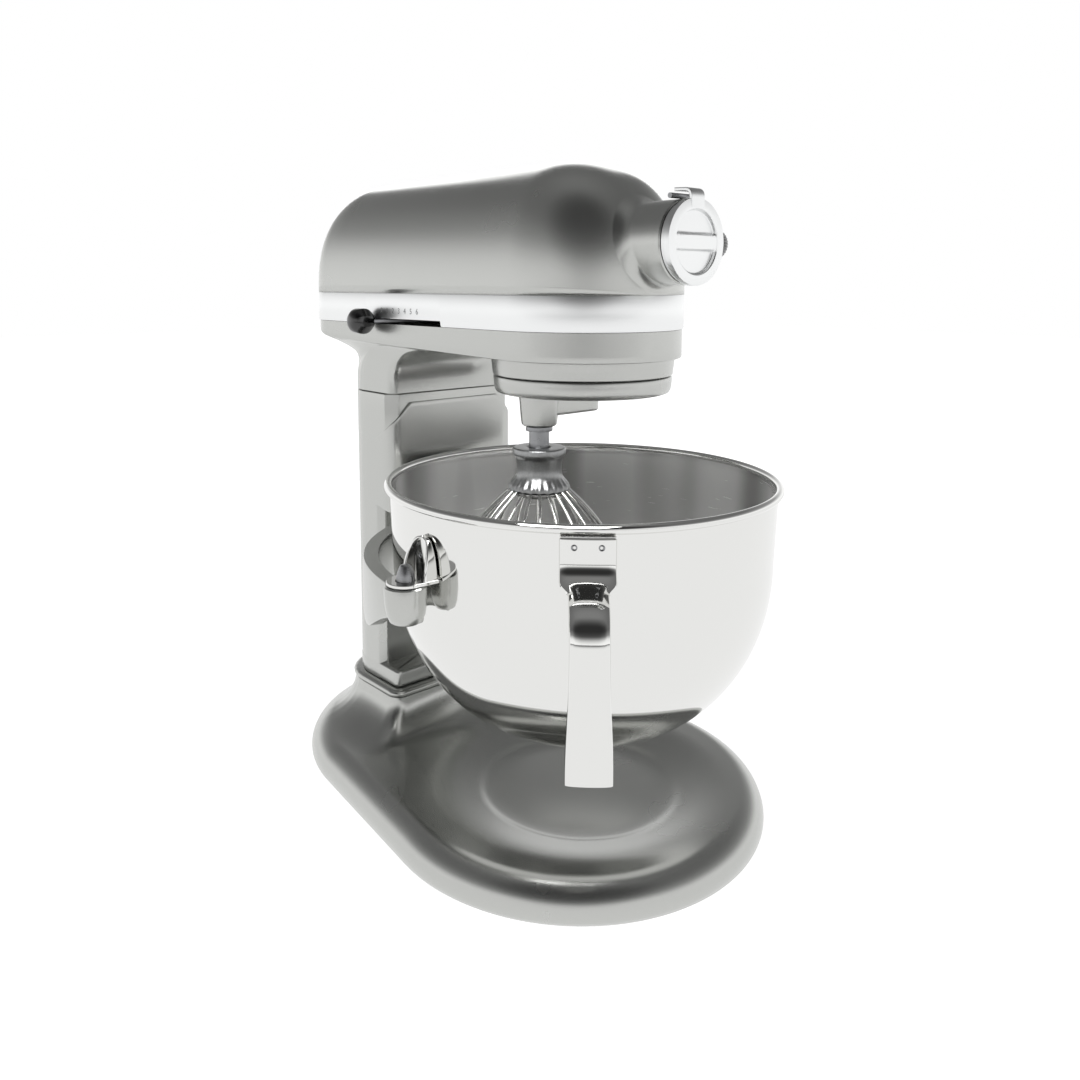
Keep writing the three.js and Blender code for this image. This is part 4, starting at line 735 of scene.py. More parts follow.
def cove_row(share):
    """The outline at a share of the way from the crease down to the neck. Under the sides it moves in at
    once and drops late, as a hollow cove does; at the back it drops evenly, as a flare does."""
    behind = soft_step(top_plan[:, 1], 120, 165)
    aside = 1 - (1 - share) ** 2.4
    forward = behind * np.sin(np.pi / 2 * min(share / 0.85, 1)) + (1 - behind) * (1 - (1 - share) ** 1.7)
    drop = behind * share + (1 - behind) * (1 - (1 - share**2) ** 0.62)
    plan = top_plan + (low_plan - top_plan) * np.column_stack([np.full(len(top_plan), aside), forward])
    return with_height(plan, start_z + (COVE_END - start_z) * drop)


wall_plan = head_plan(0.9)
crease = crease_height(wall_plan[:, 1])
wall_rows = [with_height(wall_plan, WALL_TOP + (crease + 1.2 - WALL_TOP) * s) for s in np.linspace(0, 1, 6)]
wall_rows += [with_height(head_plan(1.25), crease + 0.35), with_height(head_plan(2.1), crease)]
top_plan = neck_plan(HALF - COVE_INSET, COVE_FRONT, REAR - COVE_INSET)
low_plan = neck_plan(COLUMN_HALF, NECK_FRONT, COLUMN_REAR)
lip_plan = neck_plan(COLUMN_HALF - 0.5, NECK_FRONT + 0.5, COLUMN_REAR - 0.5)
start_z = crease_height(top_plan[:, 1]) - 0.2
cove_rows = [cove_row(share) for share in np.linspace(0, 1, 26)]
neck_rows = [with_height(low_plan, NECK_BOTTOM + 0.4), with_height(lip_plan, NECK_BOTTOM)]
piece(
    "gear_case_casting", "stand", [PAINT],
    skin(np.array(wall_rows + cove_rows + neck_rows), caps=True),
    replaces=["gear_case"], slot="cast_paint", smooth=40,
)

# %% Turret with its groove, and the drip ring
RING = span("drip_ring")[1][0]
TURRET = RING + 1.2
turret = [
    [RING - 18, 306], [TURRET + 3.2, 306], [TURRET + 2.2, 303], [TURRET + 1.2, 302.4], [TURRET + 0.4, 302.0],
    [TURRET, 301.4], [TURRET - 0.6, 296], [TURRET - 1.1, 291.6], [TURRET - 1.5, 291.2], [RING - 18, 291.0],
]
piece("gear_case_turret", "stand", [PAINT], skin(turned(turret, sides=160)), slot="cast_paint", smooth=28)
drip = [
    [RING - 16, 290.6], [RING - 1.2, 290.6], [RING - 0.5, 290.2], [RING - 0.2, 289.4], [RING - 0.6, 284.5],
    [RING - 1.1, 282.0], [RING - 2.1, 280.6], [RING - 3.4, 280.1], [RING - 4.6, 280.5], [RING - 5.2, 281.6],
    [RING - 5.6, 286], [RING - 7, 287.4], [RING - 16, 287.6], [RING - 16, 290.6],
]
piece(
    "drip_ring_turned", "stand", [PAINT], skin(turned(drip, sides=160)),
    replaces=["drip_ring"], slot="cast_paint", smooth=28,
)

# %% [markdown]
# ## The bright band
# A brushed strip wraps the head between the shell and the gear case. Beside the speed lever its lower
# edge is cut higher, and the dark slot of the lever shows in the gap.

# %% Band and the marks of the speed scale
SLOT_TOP = 322.7
SLOT_FRONT = 64.0
SLOT_BACK = 152.0
BAND_POINTS = 900
band_plan = head_plan(0.0, BAND_POINTS)
beside = (band_plan[:, 0] < 0) & (band_plan[:, 1] > SLOT_FRONT) & (band_plan[:, 1] < SLOT_BACK)
low_edge = np.where(beside, SLOT_TOP, band_low[2])
high_edge = band_high[2]
band_edges = [(0.9, low_edge), (0.25, low_edge), (0, low_edge + 0.5),
              (0, high_edge - 0.5), (0.25, high_edge), (0.9, high_edge)]
band_rows = [with_height(head_plan(inset, BAND_POINTS), z) for inset, z in band_edges]
piece(
    "trim_band_strip", "stand", [SILVER], skin(np.array(band_rows)),
    replaces=["trim_band"], slot="silver_trim", smooth=40,
)


def lettering(name, body, words, size, place, turn, ink, thickness=0.05):
    """Raised marks set from a plain built-in face, turned into a mesh so that they stay where they are."""
    curve = bpy.data.curves.new(name, "FONT")
    curve.body = words
    curve.size = size * MM
    curve.align_x = "CENTER"
    curve.extrude = thickness * MM
    text = bpy.data.objects.new(name, curve)
    text.rotation_euler = turn
    text.location = (np.array(place) + AXIS) * MM
    bpy.context.scene.collection.objects.link(text)
    bpy.context.view_layer.update()
    mesh = bpy.data.meshes.new_from_object(text)
    mesh.transform(text.matrix_world)
    bpy.data.objects.remove(text)
    mesh.materials.clear()
    mesh.materials.append(ink)
    made = bpy.data.objects.new(name, mesh)
    bpy.context.scene.collection.objects.link(made)
    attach(made, body)
    return made


LEFT_FACE = (math.pi / 2, 0, -math.pi / 2)
SCALE_PLACE = (-HALF - 0.02, 110, 326.2)
lettering("speed_scale_marks", "stand", "0   1   2   3   4   5   6", 5.2, SCALE_PLACE, LEFT_FACE, INK)
print("speed scale marked")

# %% [markdown]
# ## Speed lever
# A flat bar comes out of the slot and ends in a faceted ball of black plastic. The ball is a turned
# profile with eight gentle flats, made by pulling its radius in towards an octagon.

# %% Lever and ball
knob_low, knob_high = span("speed_knob")
knob_centre = (knob_low + knob_high) / 2
knob_radius = (knob_high[2] - knob_low[2]) / 2
KNOB_HALF_LENGTH = 9.0
lever_bar = knob_centre[1:] + block(4.5, 1.0, 0.6)
lever_x = (-HALF + 6, -HALF - 1, -HALF - 6)
bar = np.stack([np.column_stack([np.full(len(lever_bar), x), lever_bar]) for x in lever_x])
piece("speed_lever_end", "speed_control", [STEEL], skin(bar, caps=True), slot="machined_steel")
knob_centre[0] = -HALF - 0.6 - KNOB_HALF_LENGTH
ball_turn = np.linspace(0.001, np.pi - 0.001, 40)
ball = np.stack([knob_radius * np.sin(ball_turn) ** 0.78, -KNOB_HALF_LENGTH * np.cos(ball_turn)], axis=-1)
ball_points = turned(ball, sides=96, axis="x")
round_ball = np.linspace(0, 2 * np.pi, 96, endpoint=False)
octagon = np.cos(np.pi / 8) / np.cos((round_ball + np.pi / 8) % (np.pi / 4) - np.pi / 8)
octagon = octagon / octagon.max()
belly = np.sin(ball_turn)[:, None] ** 3
ball_points[..., 1:] *= (1 - belly * (1 - octagon[None]))[..., None]
piece(
    "speed_knob_ball", "speed_control", [BLACK], skin(ball_points + knob_centre),
    replaces=["speed_knob"], slot="black_plastic", smooth=16,
)

# %% [markdown]
# ## Attachment hub
# The hub is a barrel that comes out of the dome. A hollow fillet joins them: each point of the fillet
# lies on the dome at its outer end, so the dome's own height formula is solved for it.

# %% Barrel and fillet
HUB_Z = 368.6
HUB_RADIUS = span("attachment_hub")[1][0]
HUB_FACE = -80.0
FILLET = 7.0


def dome_y(x, z, steps=40):
    """The front of the dome at x and z, found by halving: a point is inside if its arch covers it."""
    near, far = np.full(x.shape, -HALF + 1e-4), np.full(x.shape, 0.0)
    for _ in range(steps):
        y = (near + far) / 2
        share_x = np.clip(np.abs(x) / np.maximum(half_width(y), 1e-6), 0, None)
        share_z = np.clip((z - SPRING) / np.maximum(crest(y), 1e-6), 0, None)
        covered = share_x**SECTION + share_z**SECTION < 1
        far, near = np.where(covered, y, far), np.where(covered, near, y)
    return (near + far) / 2


turn_a = np.linspace(0, 2 * np.pi, 128, endpoint=False)
bend = np.linspace(0, np.pi / 2, 12)[:, None]
fillet_radius = HUB_RADIUS + FILLET * (1 - np.sin(bend)) + 0 * turn_a
fx, fz = fillet_radius * np.cos(turn_a), HUB_Z + fillet_radius * np.sin(turn_a)
fy = dome_y(fx, fz) - FILLET * (1 - np.cos(bend)) + 0.5 * (1 - bend / (np.pi / 2))
fillet = np.stack([fx, fy, fz], axis=-1)
barrel = [[HUB_RADIUS, -72.5], [HUB_RADIUS, -79.2], [HUB_RADIUS - 0.8, HUB_FACE], [HUB_RADIUS - 6, HUB_FACE]]
hub_rows = np.concatenate([fillet, turned(barrel, 0, 0, HUB_Z, 128, "y")])
piece(
    "attachment_hub_barrel", "stand", [PAINT], skin(hub_rows, caps=True),
    replaces=["attachment_hub"], slot="cast_paint", smooth=40,
)

# %% Hinged cover
CAP_BACK = -80.5
CAP_FACE = -87.0
BAR_HALF = 4.4
SUNK_RADIUS = 17.4
SUNK_DEPTH = 2.3
BAR_DEPTH = 0.3
SOFTNESS = 0.35


def cap_relief(x, z):
    """The cover's face: a rim, a sunk ring, and a raised bar straight across, with soft edges."""
    radius = np.hypot(x, z)
    bar = 0.5 * (np.tanh((BAR_HALF - np.abs(z)) / SOFTNESS) + 1)
    sunk = 0.5 * (np.tanh((SUNK_RADIUS - radius) / SOFTNESS) + 1)
    return -SUNK_DEPTH * sunk * (1 - bar) - BAR_DEPTH * sunk * bar


cap_r = np.concatenate([np.linspace(0.05, 16.0, 50), np.linspace(16.2, 18.6, 18), np.linspace(18.9, 19.7, 4)])
cap_x, cap_z = cap_r[:, None] * np.cos(turn_a), cap_r[:, None] * np.sin(turn_a)
cap_face = np.stack([cap_x, CAP_FACE - cap_relief(cap_x, cap_z), HUB_Z + cap_z], axis=-1)
cap_edge = [
    [19.9, CAP_FACE], [HUB_RADIUS + 0.15, -86.6], [HUB_RADIUS + 0.3, -86.0], [HUB_RADIUS + 0.3, -83.2],
    [HUB_RADIUS - 0.2, -82.7], [HUB_RADIUS - 0.9, -82.5], [HUB_RADIUS - 1.0, CAP_BACK], [8, CAP_BACK],
]
cap_rows = np.concatenate([cap_face, turned(cap_edge, 0, 0, HUB_Z, 128, "y")])
tab_path = rounded([[0, -86.2, 387], [0, -86.2, 396.5], [0, -75.0, 397.0]], [0, 4, 0], 8, closed=False)
tab = carried(resample(tab_path, 44), block(1.0, 5.6, 0.5), (1, 0, 0))
piece(
    "hub_cover_pressed", "hub_cover", [SILVER], skin(cap_rows, caps=True), skin(tab, caps=True),
    replaces=["hub_cover"], slot="silver_trim", smooth=35,
)

# %% Ribbed knob of the hub
grip_low, grip_high = span("hub_knob")
GRIP_RADIUS = (grip_high[2] - grip_low[2]) / 2
RIBS = 30
RIB_DEPTH = 0.32
grip_y, grip_z = (grip_low + grip_high)[1:] / 2
grip_end = grip_high[0]
stem_end = grip_end - 17
round_end = np.linspace(0, np.pi / 2, 9)
grip_profile = [
    [3.5, grip_low[0]], [3.5, stem_end - 0.2], [GRIP_RADIUS - 2.2, stem_end],
    [GRIP_RADIUS - 0.8, stem_end + 0.6],
    [GRIP_RADIUS, stem_end + 1.6], [GRIP_RADIUS, grip_end - 5.5],
] + [[max((GRIP_RADIUS - 0.2) * math.cos(a), 0.02), grip_end - 5.3 + 5.3 * math.sin(a)] for a in round_end]
ribbed = turned(grip_profile, 0, grip_y, grip_z, 240, "x")
rib = RIB_DEPTH * (1 - np.cos(RIBS * np.linspace(0, 2 * np.pi, 240, endpoint=False)))
rib_share = np.array([0, 0, 0, 0.3, 1, 1, 1, 1, 0.6, 0.3] + [0] * (len(grip_profile) - 10))[:, None]
away = (ribbed - [0, grip_y, grip_z]) * [0, 1, 1]
away /= np.maximum(np.linalg.norm(away, axis=-1, keepdims=True), 1e-6)
ribbed = ribbed - away * (rib_share * rib)[..., None]
piece(
    "hub_knob_grip", "hub_knob", [BLACK], skin(ribbed, caps=True),
    replaces=["hub_knob"], slot="black_plastic", smooth=60,
)

# %% [markdown]
# ## Bowl
# The bowl is one turned profile: a superellipse bottom, a nearly upright wall and a rolled bead at the
# rim. Outside it is mirror polished; inside it is brushed, so the two sides are two skins with two
# finishes that meet in the bead.

# %% Bowl profile
bowl_low, bowl_high = span("bowl")
BOWL_RIM = bowl_high[2]
BEAD_RADIUS = 2.9
BOWL_RADIUS = bowl_high[0] - BEAD_RADIUS
BOWL_WAIST = BOWL_RADIUS - 2.0
WAIST_Z = BOWL_RIM - 45.0
BOWL_FLOOR = bowl_low[2]
BOWL_ROUND = 2.15
BOWL_WALL = 1.2


def bowl_side(z, inset=0.0):
    """Radius of the bowl at a height: straight above the waist, and below it the superellipse
    waist * (1 - share^n)^(1/n), where share runs from 0 at the waist to 1 at the floor."""
    share = np.clip((WAIST_Z - z) / (WAIST_Z - BOWL_FLOOR - inset), 0, 1)
    below = (BOWL_WAIST - inset) * (1 - share**BOWL_ROUND) ** (1 / BOWL_ROUND)
    above = BOWL_WAIST - inset + 2.0 * (z - WAIST_Z) / (BOWL_RIM - WAIST_Z)
    return np.where(z > WAIST_Z, above, below)


def bowl_line(inset, top, count=90):
    """The profile from the middle of the floor up to a height, closer together where it bends."""
    bend = np.linspace(np.pi / 2, 0, count)
    low = WAIST_Z - (WAIST_Z - BOWL_FLOOR - inset) * np.sin(bend)
    z = np.concatenate([low, np.linspace(WAIST_Z, top, 12)[1:]])
    line = np.stack([bowl_side(z, inset), z], axis=-1)
    line[0, 0] = 0.01
    return line


roll = np.radians(np.linspace(-75, 215, 26))
bead_middle = np.array([BOWL_RADIUS + 0.35, BOWL_RIM - 2.55])
bead = bead_middle + 2.55 * np.stack([np.cos(roll), np.sin(roll)], axis=-1)
outer_line = np.vstack([bowl_line(0.0, BOWL_RIM - 5.6), bead])
inner_line = np.vstack([bowl_line(BOWL_WALL, BOWL_RIM - 4.4), bead[-1:]])
piece(
    "bowl_spun", "bowl", [POLISHED, SPUN],
    skin(turned(outer_line, sides=256), finish=0),
    skin(turned(inner_line, sides=256), finish=1),
    replaces=["bowl"], slot="polished_steel", smooth=60,
)

# %% [markdown]
# ## Handle
# One pressed steel strap: a plate spot-welded under the rim, a fold, a shoulder that swings outwards and a
# grip that hangs down. The section is carried along the side view of the strap; its sides are turned back
# to stiffen it.

# %% Handle strap
HANDLE_TURN = math.radians(-133.3)
handle_along = np.array([math.cos(HANDLE_TURN), math.sin(HANDLE_TURN), 0.0])
handle_across = np.array([-handle_along[1], handle_along[0], 0.0])


def on_handle(out, across, z):
    """A point at a distance from the bowl's axis, a step across the handle and a height."""
    return out[..., None] * handle_along + across[..., None] * handle_across + z[..., None] * [0, 0, 1.0]


strap_line = rounded(
    [
        [123.6, 219.5], [123.2, 204.0], [129.5, 199.0], [151.0, 192.5], [159.2, 184.0], [161.0, 150.0],
        [161.2, 111.0]
    ],
    [0, 4, 5, 6, 8, 18, 0], 12, closed=False,
)
strap_line = resample(strap_line, 120)
strap_along = np.gradient(strap_line, axis=0)
strap_along /= np.linalg.norm(strap_along, axis=1, keepdims=True)
strap_out = np.stack([-strap_along[:, 1], strap_along[:, 0]], axis=-1)
done = np.linspace(0, 1, 120)
STRAP_WALL = 1.8
shoulder, waist, flare = soft_step(done, 0.16, 0.24), soft_step(done, 0.25, 0.5), soft_step(done, 0.55, 1.0)
half_wide = 10.1 + 1.9 * flare + 4.4 * (1 - shoulder) - 0.4 * waist
returns = 7.5 * soft_step(done, 0.22, 0.42)


def strap_section(half, back):
    """Half the width and the depth of the returns make a shallow channel, seen from the end."""
    outer = [[half * 0.4, -0.12], [half * 0.7, -0.4], [half - 1.6, -0.8], [half - 0.5, -1.2], [half, -2.2]]
    outer.append([half, -2.2 - back])
    inner = [[half - STRAP_WALL, -2.2 - back], [half - STRAP_WALL, -STRAP_WALL - 0.6], [0, -STRAP_WALL]]
    right = np.array([[0, 0]] + outer + inner)
    left = right[::-1] * [-1, 1]
    return np.vstack([right, left[1:-1]])


sections = np.stack([strap_section(h, b) for h, b in zip(half_wide, returns)])
strap_out_point = strap_line[:, None, 0] + strap_out[:, None, 0] * sections[..., 1]
strap_up_point = strap_line[:, None, 1] + strap_out[:, None, 1] * sections[..., 1]
strap = on_handle(strap_out_point, sections[..., 0], strap_up_point)
piece(
    "bowl_handle_strap", "bowl", [POLISHED], skin(strap, caps=True),
    replaces=["bowl_handle"], slot="polished_steel", bevel=0.25, smooth=35,
)

# %% Plate of the handle, curved to the bowl
plate_turn = np.radians(np.linspace(-6.8, 6.8, 25))
plate_z = np.linspace(204.5, 220.8, 9)
spread, up_plate = np.meshgrid(plate_turn, plate_z)
radius_here = bowl_side(up_plate) + 2.2


def plate_points(radius):
    """The plate lies on the bowl: the same angle round the axis, a little further out."""
    return on_handle(radius * np.cos(spread), radius * np.sin(spread), up_plate)


front_face, back_face = plate_points(radius_here + 0.2), plate_points(radius_here - 1.6)
plate_edge = [np.vstack([f[0], f[1:-1, -1], f[-1, ::-1], f[-2:0:-1, 0]]) for f in (back_face, front_face)]
piece(
    "handle_plate", "bowl", [POLISHED],
    skin(front_face, wrap=False), skin(back_face, wrap=False), skin(np.stack(plate_edge)),
    slot="polished_steel", bevel=0.35, smooth=35,
)


def weld(name, middle, normal, body, radius=1.5):
    """A spot weld: a shallow round dimple with a raised rim, laid square to a direction."""
    normal = np.asarray(normal, float) / np.linalg.norm(normal)
    side = np.cross([0, 0, 1.0], normal)
    side /= np.linalg.norm(side)
    top = np.cross(normal, side)
    rings = np.array([[0.02, -0.25], [0.5, -0.22], [0.8, 0.05], [0.95, 0.12], [1.1, 0.0], [1.12, -0.3]])
    a = np.linspace(0, 2 * np.pi, 20, endpoint=False)
    way = np.cos(a)[None, :, None] * side + np.sin(a)[None, :, None] * top
    grid = middle + radius * (rings[:, :1, None] * way)
    grid = grid + rings[:, 1:, None] * normal
    return piece(name, body, [STEEL], skin(grid, caps=True), slot="polished_steel")


for number, across in enumerate((-6.9, 6.9)):
    dot = on_handle(np.array(123.5), np.array(across), np.array(215.5))
    weld(f"handle_weld_{number + 1}", dot, handle_along, "bowl")

# %% [markdown]
# ## Ears of the bowl
# Each ear is a flange that rests on a pad, with a hole for the pin, and a folded bracket that carries it:
# a plate on the bowl with a round top, and two wings that stand out and taper upwards.

# %% Ears
PIN_REACH = span("locating_pin_right")[0][0] / 2 + span("locating_pin_right")[1][0] / 2
ear_low = span("bowl_ear_right")[0][2]
ear_reach = span("bowl_ear_right")[1][0]
EAR_HOLE = 5.5
FOLD_START = 0.62
BRACKET_HEIGHT = 22.5


def make_ear(side, name):
    """One ear on the side given as 1 or -1. Each wing's outer edge falls as a cosine of its height."""
    flange_out = arc(PIN_REACH, 0, ear_reach - PIN_REACH, -80, 80, 24)
    inner_edge = arc(0, 0, BOWL_RADIUS - 0.6, 5.4, -5.4, 12)
    outline = np.vstack([flange_out, inner_edge]) * [side, 1]
    if side < 0:
        outline = outline[::-1]
    outline = resample(outline, 96, closed=True)
    start = int(np.argmin(np.arctan2(outline[:, 1], outline[:, 0] - side * PIN_REACH) % (2 * np.pi)))
    outline = np.roll(outline, -start, axis=0)
    hole_angle = np.arctan2(outline[:, 1], outline[:, 0] - side * PIN_REACH)
    hole = EAR_HOLE * np.stack([np.cos(hole_angle), np.sin(hole_angle)], axis=-1) + [side * PIN_REACH, 0]
    ear_top = ear_low + 1.9
    edges = [(hole, ear_low), (hole, ear_top), (outline, ear_top), (outline, ear_low), (hole, ear_low)]
    flange = skin(np.array([with_height(edge, z) for edge, z in edges]))
    height = np.linspace(0, 1, 28)[:, None]
    across = np.linspace(-1, 1, 41)[None, :]
    half = 0.6 + 9.4 * (1 - height**2.6) ** (1 / 2.2)
    wing = 1.0 + 7.5 * (1 - height**1.5) ** 0.8
    fold = np.clip((np.abs(across) - FOLD_START) / (1 - FOLD_START), 0, 1)
    flat = np.clip(np.abs(across) / FOLD_START, 0, 1)
    y = np.sign(across) * half * (0.93 * flat + 0.07 * np.sin(np.pi / 2 * fold))
    z = ear_low + 1.2 + BRACKET_HEIGHT * height + 0 * across
    out = bowl_side(z) + 1.6 + wing * fold**1.25
    x = np.sqrt(np.clip(out**2 - y**2 * 0.9, 0, None)) * side
    bracket = np.stack([x, y + 0 * z, z], axis=-1)
    piece(name + "_flange", "bowl", [POLISHED], flange, replaces=[name], slot="polished_steel", bevel=0.3)
    folded = piece(
        name + "_bracket", "bowl", [POLISHED], skin(bracket, wrap=False),
        slot="polished_steel", wall=1.3, smooth=60,
    )
    folded.modifiers["wall"].offset = 0
    for number, (y_dot, z_dot) in enumerate(((-3.4, 12.5), (3.4, 12.5))):
        place = np.array([side * (bowl_side(ear_low + z_dot) + 2.3), y_dot, ear_low + z_dot])
        weld(f"{name}_weld_{number + 1}", place, (side, 0, 0), "bowl", 1.3)


make_ear(-1, "bowl_ear_left")
make_ear(1, "bowl_ear_right")

# %% Pins
for name in ("locating_pin_left", "locating_pin_right"):
    low, high = span(name)
    middle = (low + high) / 2
    top, seat = high[2], high[2] - 11.0
    pin = [[0.01, low[2]], [4, low[2]], [4, seat + 0.3], [5, seat + 0.4], [5, seat + 4.4], [4.4, seat + 6.6],
           [3.4, seat + 9.4], [2.9, seat + 10.4], [2.0, top - 0.1], [0.01, top]]
    piece(
        name + "_turned", "bowl_support", [STEEL], skin(turned(pin, middle[0], middle[1], sides=40)),
        replaces=[name], slot="machined_steel",
    )
low, high = span("bowl_rear_pin")
stud = [[0.01, low[1]], [3, low[1]], [3, high[1] - 1], [2.4, high[1] - 0.2], [0.01, high[1]]]
stud_z = (low[2] + high[2]) / 2
piece(
    "bowl_rear_pin_turned", "bowl", [STEEL], skin(turned(stud, 0, 0, stud_z, 32, "y")),
    replaces=["bowl_rear_pin"], slot="machined_steel",
)

# %% [markdown]
# ## Bowl support
# The support is a C-shaped casting. Its section is carried half round the bowl; its underside rises and
# its depth shrinks towards the two cup-shaped pads, and a block joins it to the column's slideway.

# %% Yoke
yoke_low, yoke_high = span("bowl_support")
YOKE_TOP = yoke_high[2] - 3.0
YOKE_BOTTOM = yoke_low[2]
YOKE_MIDDLE = BOWL_RADIUS + 11.3
YOKE_HALF = 5.4
yoke_turn = np.radians(np.linspace(-3, 183, 150))
near_pad = np.minimum(yoke_turn - yoke_turn[0], yoke_turn[-1] - yoke_turn) * YOKE_MIDDLE
underside = YOKE_BOTTOM + 23 * (1 - soft_step(near_pad, 8, 78))
yoke_section = rounded(
    [[-YOKE_HALF, 0], [YOKE_HALF, 0], [YOKE_HALF, 1], [-YOKE_HALF, 1]], [1.6, 2.4, 1.0, 1.0], 6)
radius_of = YOKE_MIDDLE + yoke_section[None, :, 0]
yoke_z = underside[:, None] + (YOKE_TOP - underside[:, None]) * yoke_section[None, :, 1]
yoke_x, yoke_y = radius_of * np.cos(yoke_turn)[:, None], radius_of * np.sin(yoke_turn)[:, None]
yoke = np.stack([yoke_x, yoke_y, yoke_z], axis=-1)
pads = []
for side in (-1, 1):
    pad = [[0.01, 164.0], [7.6, 164.0], [8.8, 164.8], [10.6, 168.6], [11.6, 175], [11.9, 182.6],
           [11.6, 184.2],
           [10.8, 184.9], [6.4, 184.9], [5.6, 184.3], [5.4, 176], [0.01, 176]]
    points = turned(pad, side * PIN_REACH, 0, 0, 96)
    from_axis = np.hypot(points[..., 0], points[..., 1])
    keep_out = np.maximum(BOWL_RADIUS + 2.2, from_axis) / np.maximum(from_axis, 1)
    points[..., :2] *= keep_out[..., None]
    pads.append(skin(points))
block_half = 42.0
block_x = np.linspace(-block_half, block_half, 40)
block_front = np.sqrt(np.maximum((YOKE_MIDDLE - 3) ** 2 - block_x**2, 1))
slide = BODY_FRONT - 0.4
block_outline = np.vstack([
    np.column_stack([block_x, block_front]),
    [[block_half, slide], [-block_half, slide]],
])
seam_outline = resample(block_outline, 160, closed=True)
piece(
    "bowl_support_casting", "bowl_support", [PAINT],
    skin(yoke, caps=True), *pads,
    raised(seam_outline, YOKE_BOTTOM + 0.6, YOKE_TOP - 0.4, 1.2),
    replaces=["bowl_support"], slot="cast_paint", smooth=38,
)

# %% [markdown]
# ## Planetary and whisk
# The planetary hangs out of the gear case: a flat arm with round ends and a boss around the beater's
# shaft. The whisk's wires are loops that nest below each other where they cross at the bottom.

# %% Planetary
whisk_low, whisk_high = span("whisk_hub")
BEATER_X = (whisk_low[0] + whisk_high[0]) / 2


def stadium(half_length, radius, middle_x, count=96):
    """Two half circles joined by straight lines."""
    right = arc(middle_x + half_length, 0, radius, -90, 90, 24)
    left = arc(middle_x - half_length, 0, radius, 90, 270, 24)
    return resample(np.vstack([right, left]), count, closed=True)


arm_outline = stadium(-BEATER_X / 2, 10.2, BEATER_X / 2)
carrier = [[0.01, 283.2], [44.5, 283.2], [46.2, 283.7], [46.8, 284.8], [46.8, 289.2], [0.01, 289.2]]
boss = [
    [6.5, 262.0], [9.4, 262.0], [10.5, 262.9], [11.0, 266], [11.8, 276], [12.6, 283.6], [6.5, 283.6],
    [6.5, 262.0],
]
piece(
    "planetary_casting", "planetary", [PAINT],
    raised(arm_outline, 268.2, 283.6, 1.6),
    skin(turned(boss, BEATER_X, 0, 0, 64)),
    skin(turned(carrier, sides=128)),
    replaces=["planetary"], slot="cast_paint", smooth=35,
)

# %% Beater shaft and its collar
shaft_low, shaft_high = span("beater_shaft")
shaft = [[0.01, shaft_low[2]], [5.2, shaft_low[2]], [6, shaft_low[2] + 0.8], [6, 258.6], [7.9, 258.9],
         [8, 259.4],
         [8, 261.4], [6, 261.6], [6, 291], [5, 291.4], [5, shaft_high[2]], [0.01, shaft_high[2]]]
piece(
    "beater_shaft_turned", "beater", [STEEL], skin(turned(shaft, BEATER_X, 0, 0, 48)),
    replaces=["beater_shaft"], slot="machined_steel",
)
pin_low, pin_high = span("beater_pin")
cross = [[0.01, pin_low[0]], [1.2, pin_low[0] + 0.1], [1.6, pin_low[0] + 0.6], [1.6, pin_high[0] - 0.6],
         [1.2, pin_high[0] - 0.1], [0.01, pin_high[0]]]
pin_z = (pin_low[2] + pin_high[2]) / 2
piece(
    "beater_cross_pin", "beater", [STEEL], skin(turned(cross, 0, 0, pin_z, 24, "x")),
    replaces=["beater_pin"], slot="machined_steel",
)

# %% Whisk hub
HUB_TOP = whisk_high[2]
hub_line = rounded(
    [[6.6, HUB_TOP - 1.2], [8.0, HUB_TOP], [16.4, HUB_TOP], [16.6, HUB_TOP - 4.2], [14.4, HUB_TOP - 6.2],
     [13.8, HUB_TOP - 13], [14.6, HUB_TOP - 17.5], [18.2, HUB_TOP - 22.2], [19.0, HUB_TOP - 24.9],
     [16.0, HUB_TOP - 25.0], [6.6, HUB_TOP - 23]],
    [0, 0.8, 1.2, 1.2, 1.2, 3, 2.4, 1.2, 0.4, 1, 0], 6, closed=False)
hub_points = turned(hub_line[::-1], BEATER_X, 0, 0, 132)
hub_angle = np.linspace(0, 2 * np.pi, 132, endpoint=False)
ripple = 0.5 * np.clip((HUB_TOP - 17 - hub_points[..., 2]) / 6, 0, 1) * np.cos(22 * hub_angle)[None]
direction = (hub_points - [BEATER_X, 0, 0]) * [1, 1, 0]
direction /= np.maximum(np.linalg.norm(direction, axis=-1, keepdims=True), 1e-6)
piece(
    "whisk_hub_cast", "beater", [CAST], skin(hub_points + direction * (ripple - 0.5)[..., None]),
    replaces=["whisk_hub"], slot="silver_trim", smooth=40,
)

# %% Whisk wires
wires_low = span("whisk_wires")[0]
WIRES = 11
WIRE = 1.1
NEST = 2.7
WIDEST_Z = 160.0
WIRE_REACH = 58.9
WIRE_TOP_REACH = 15.4


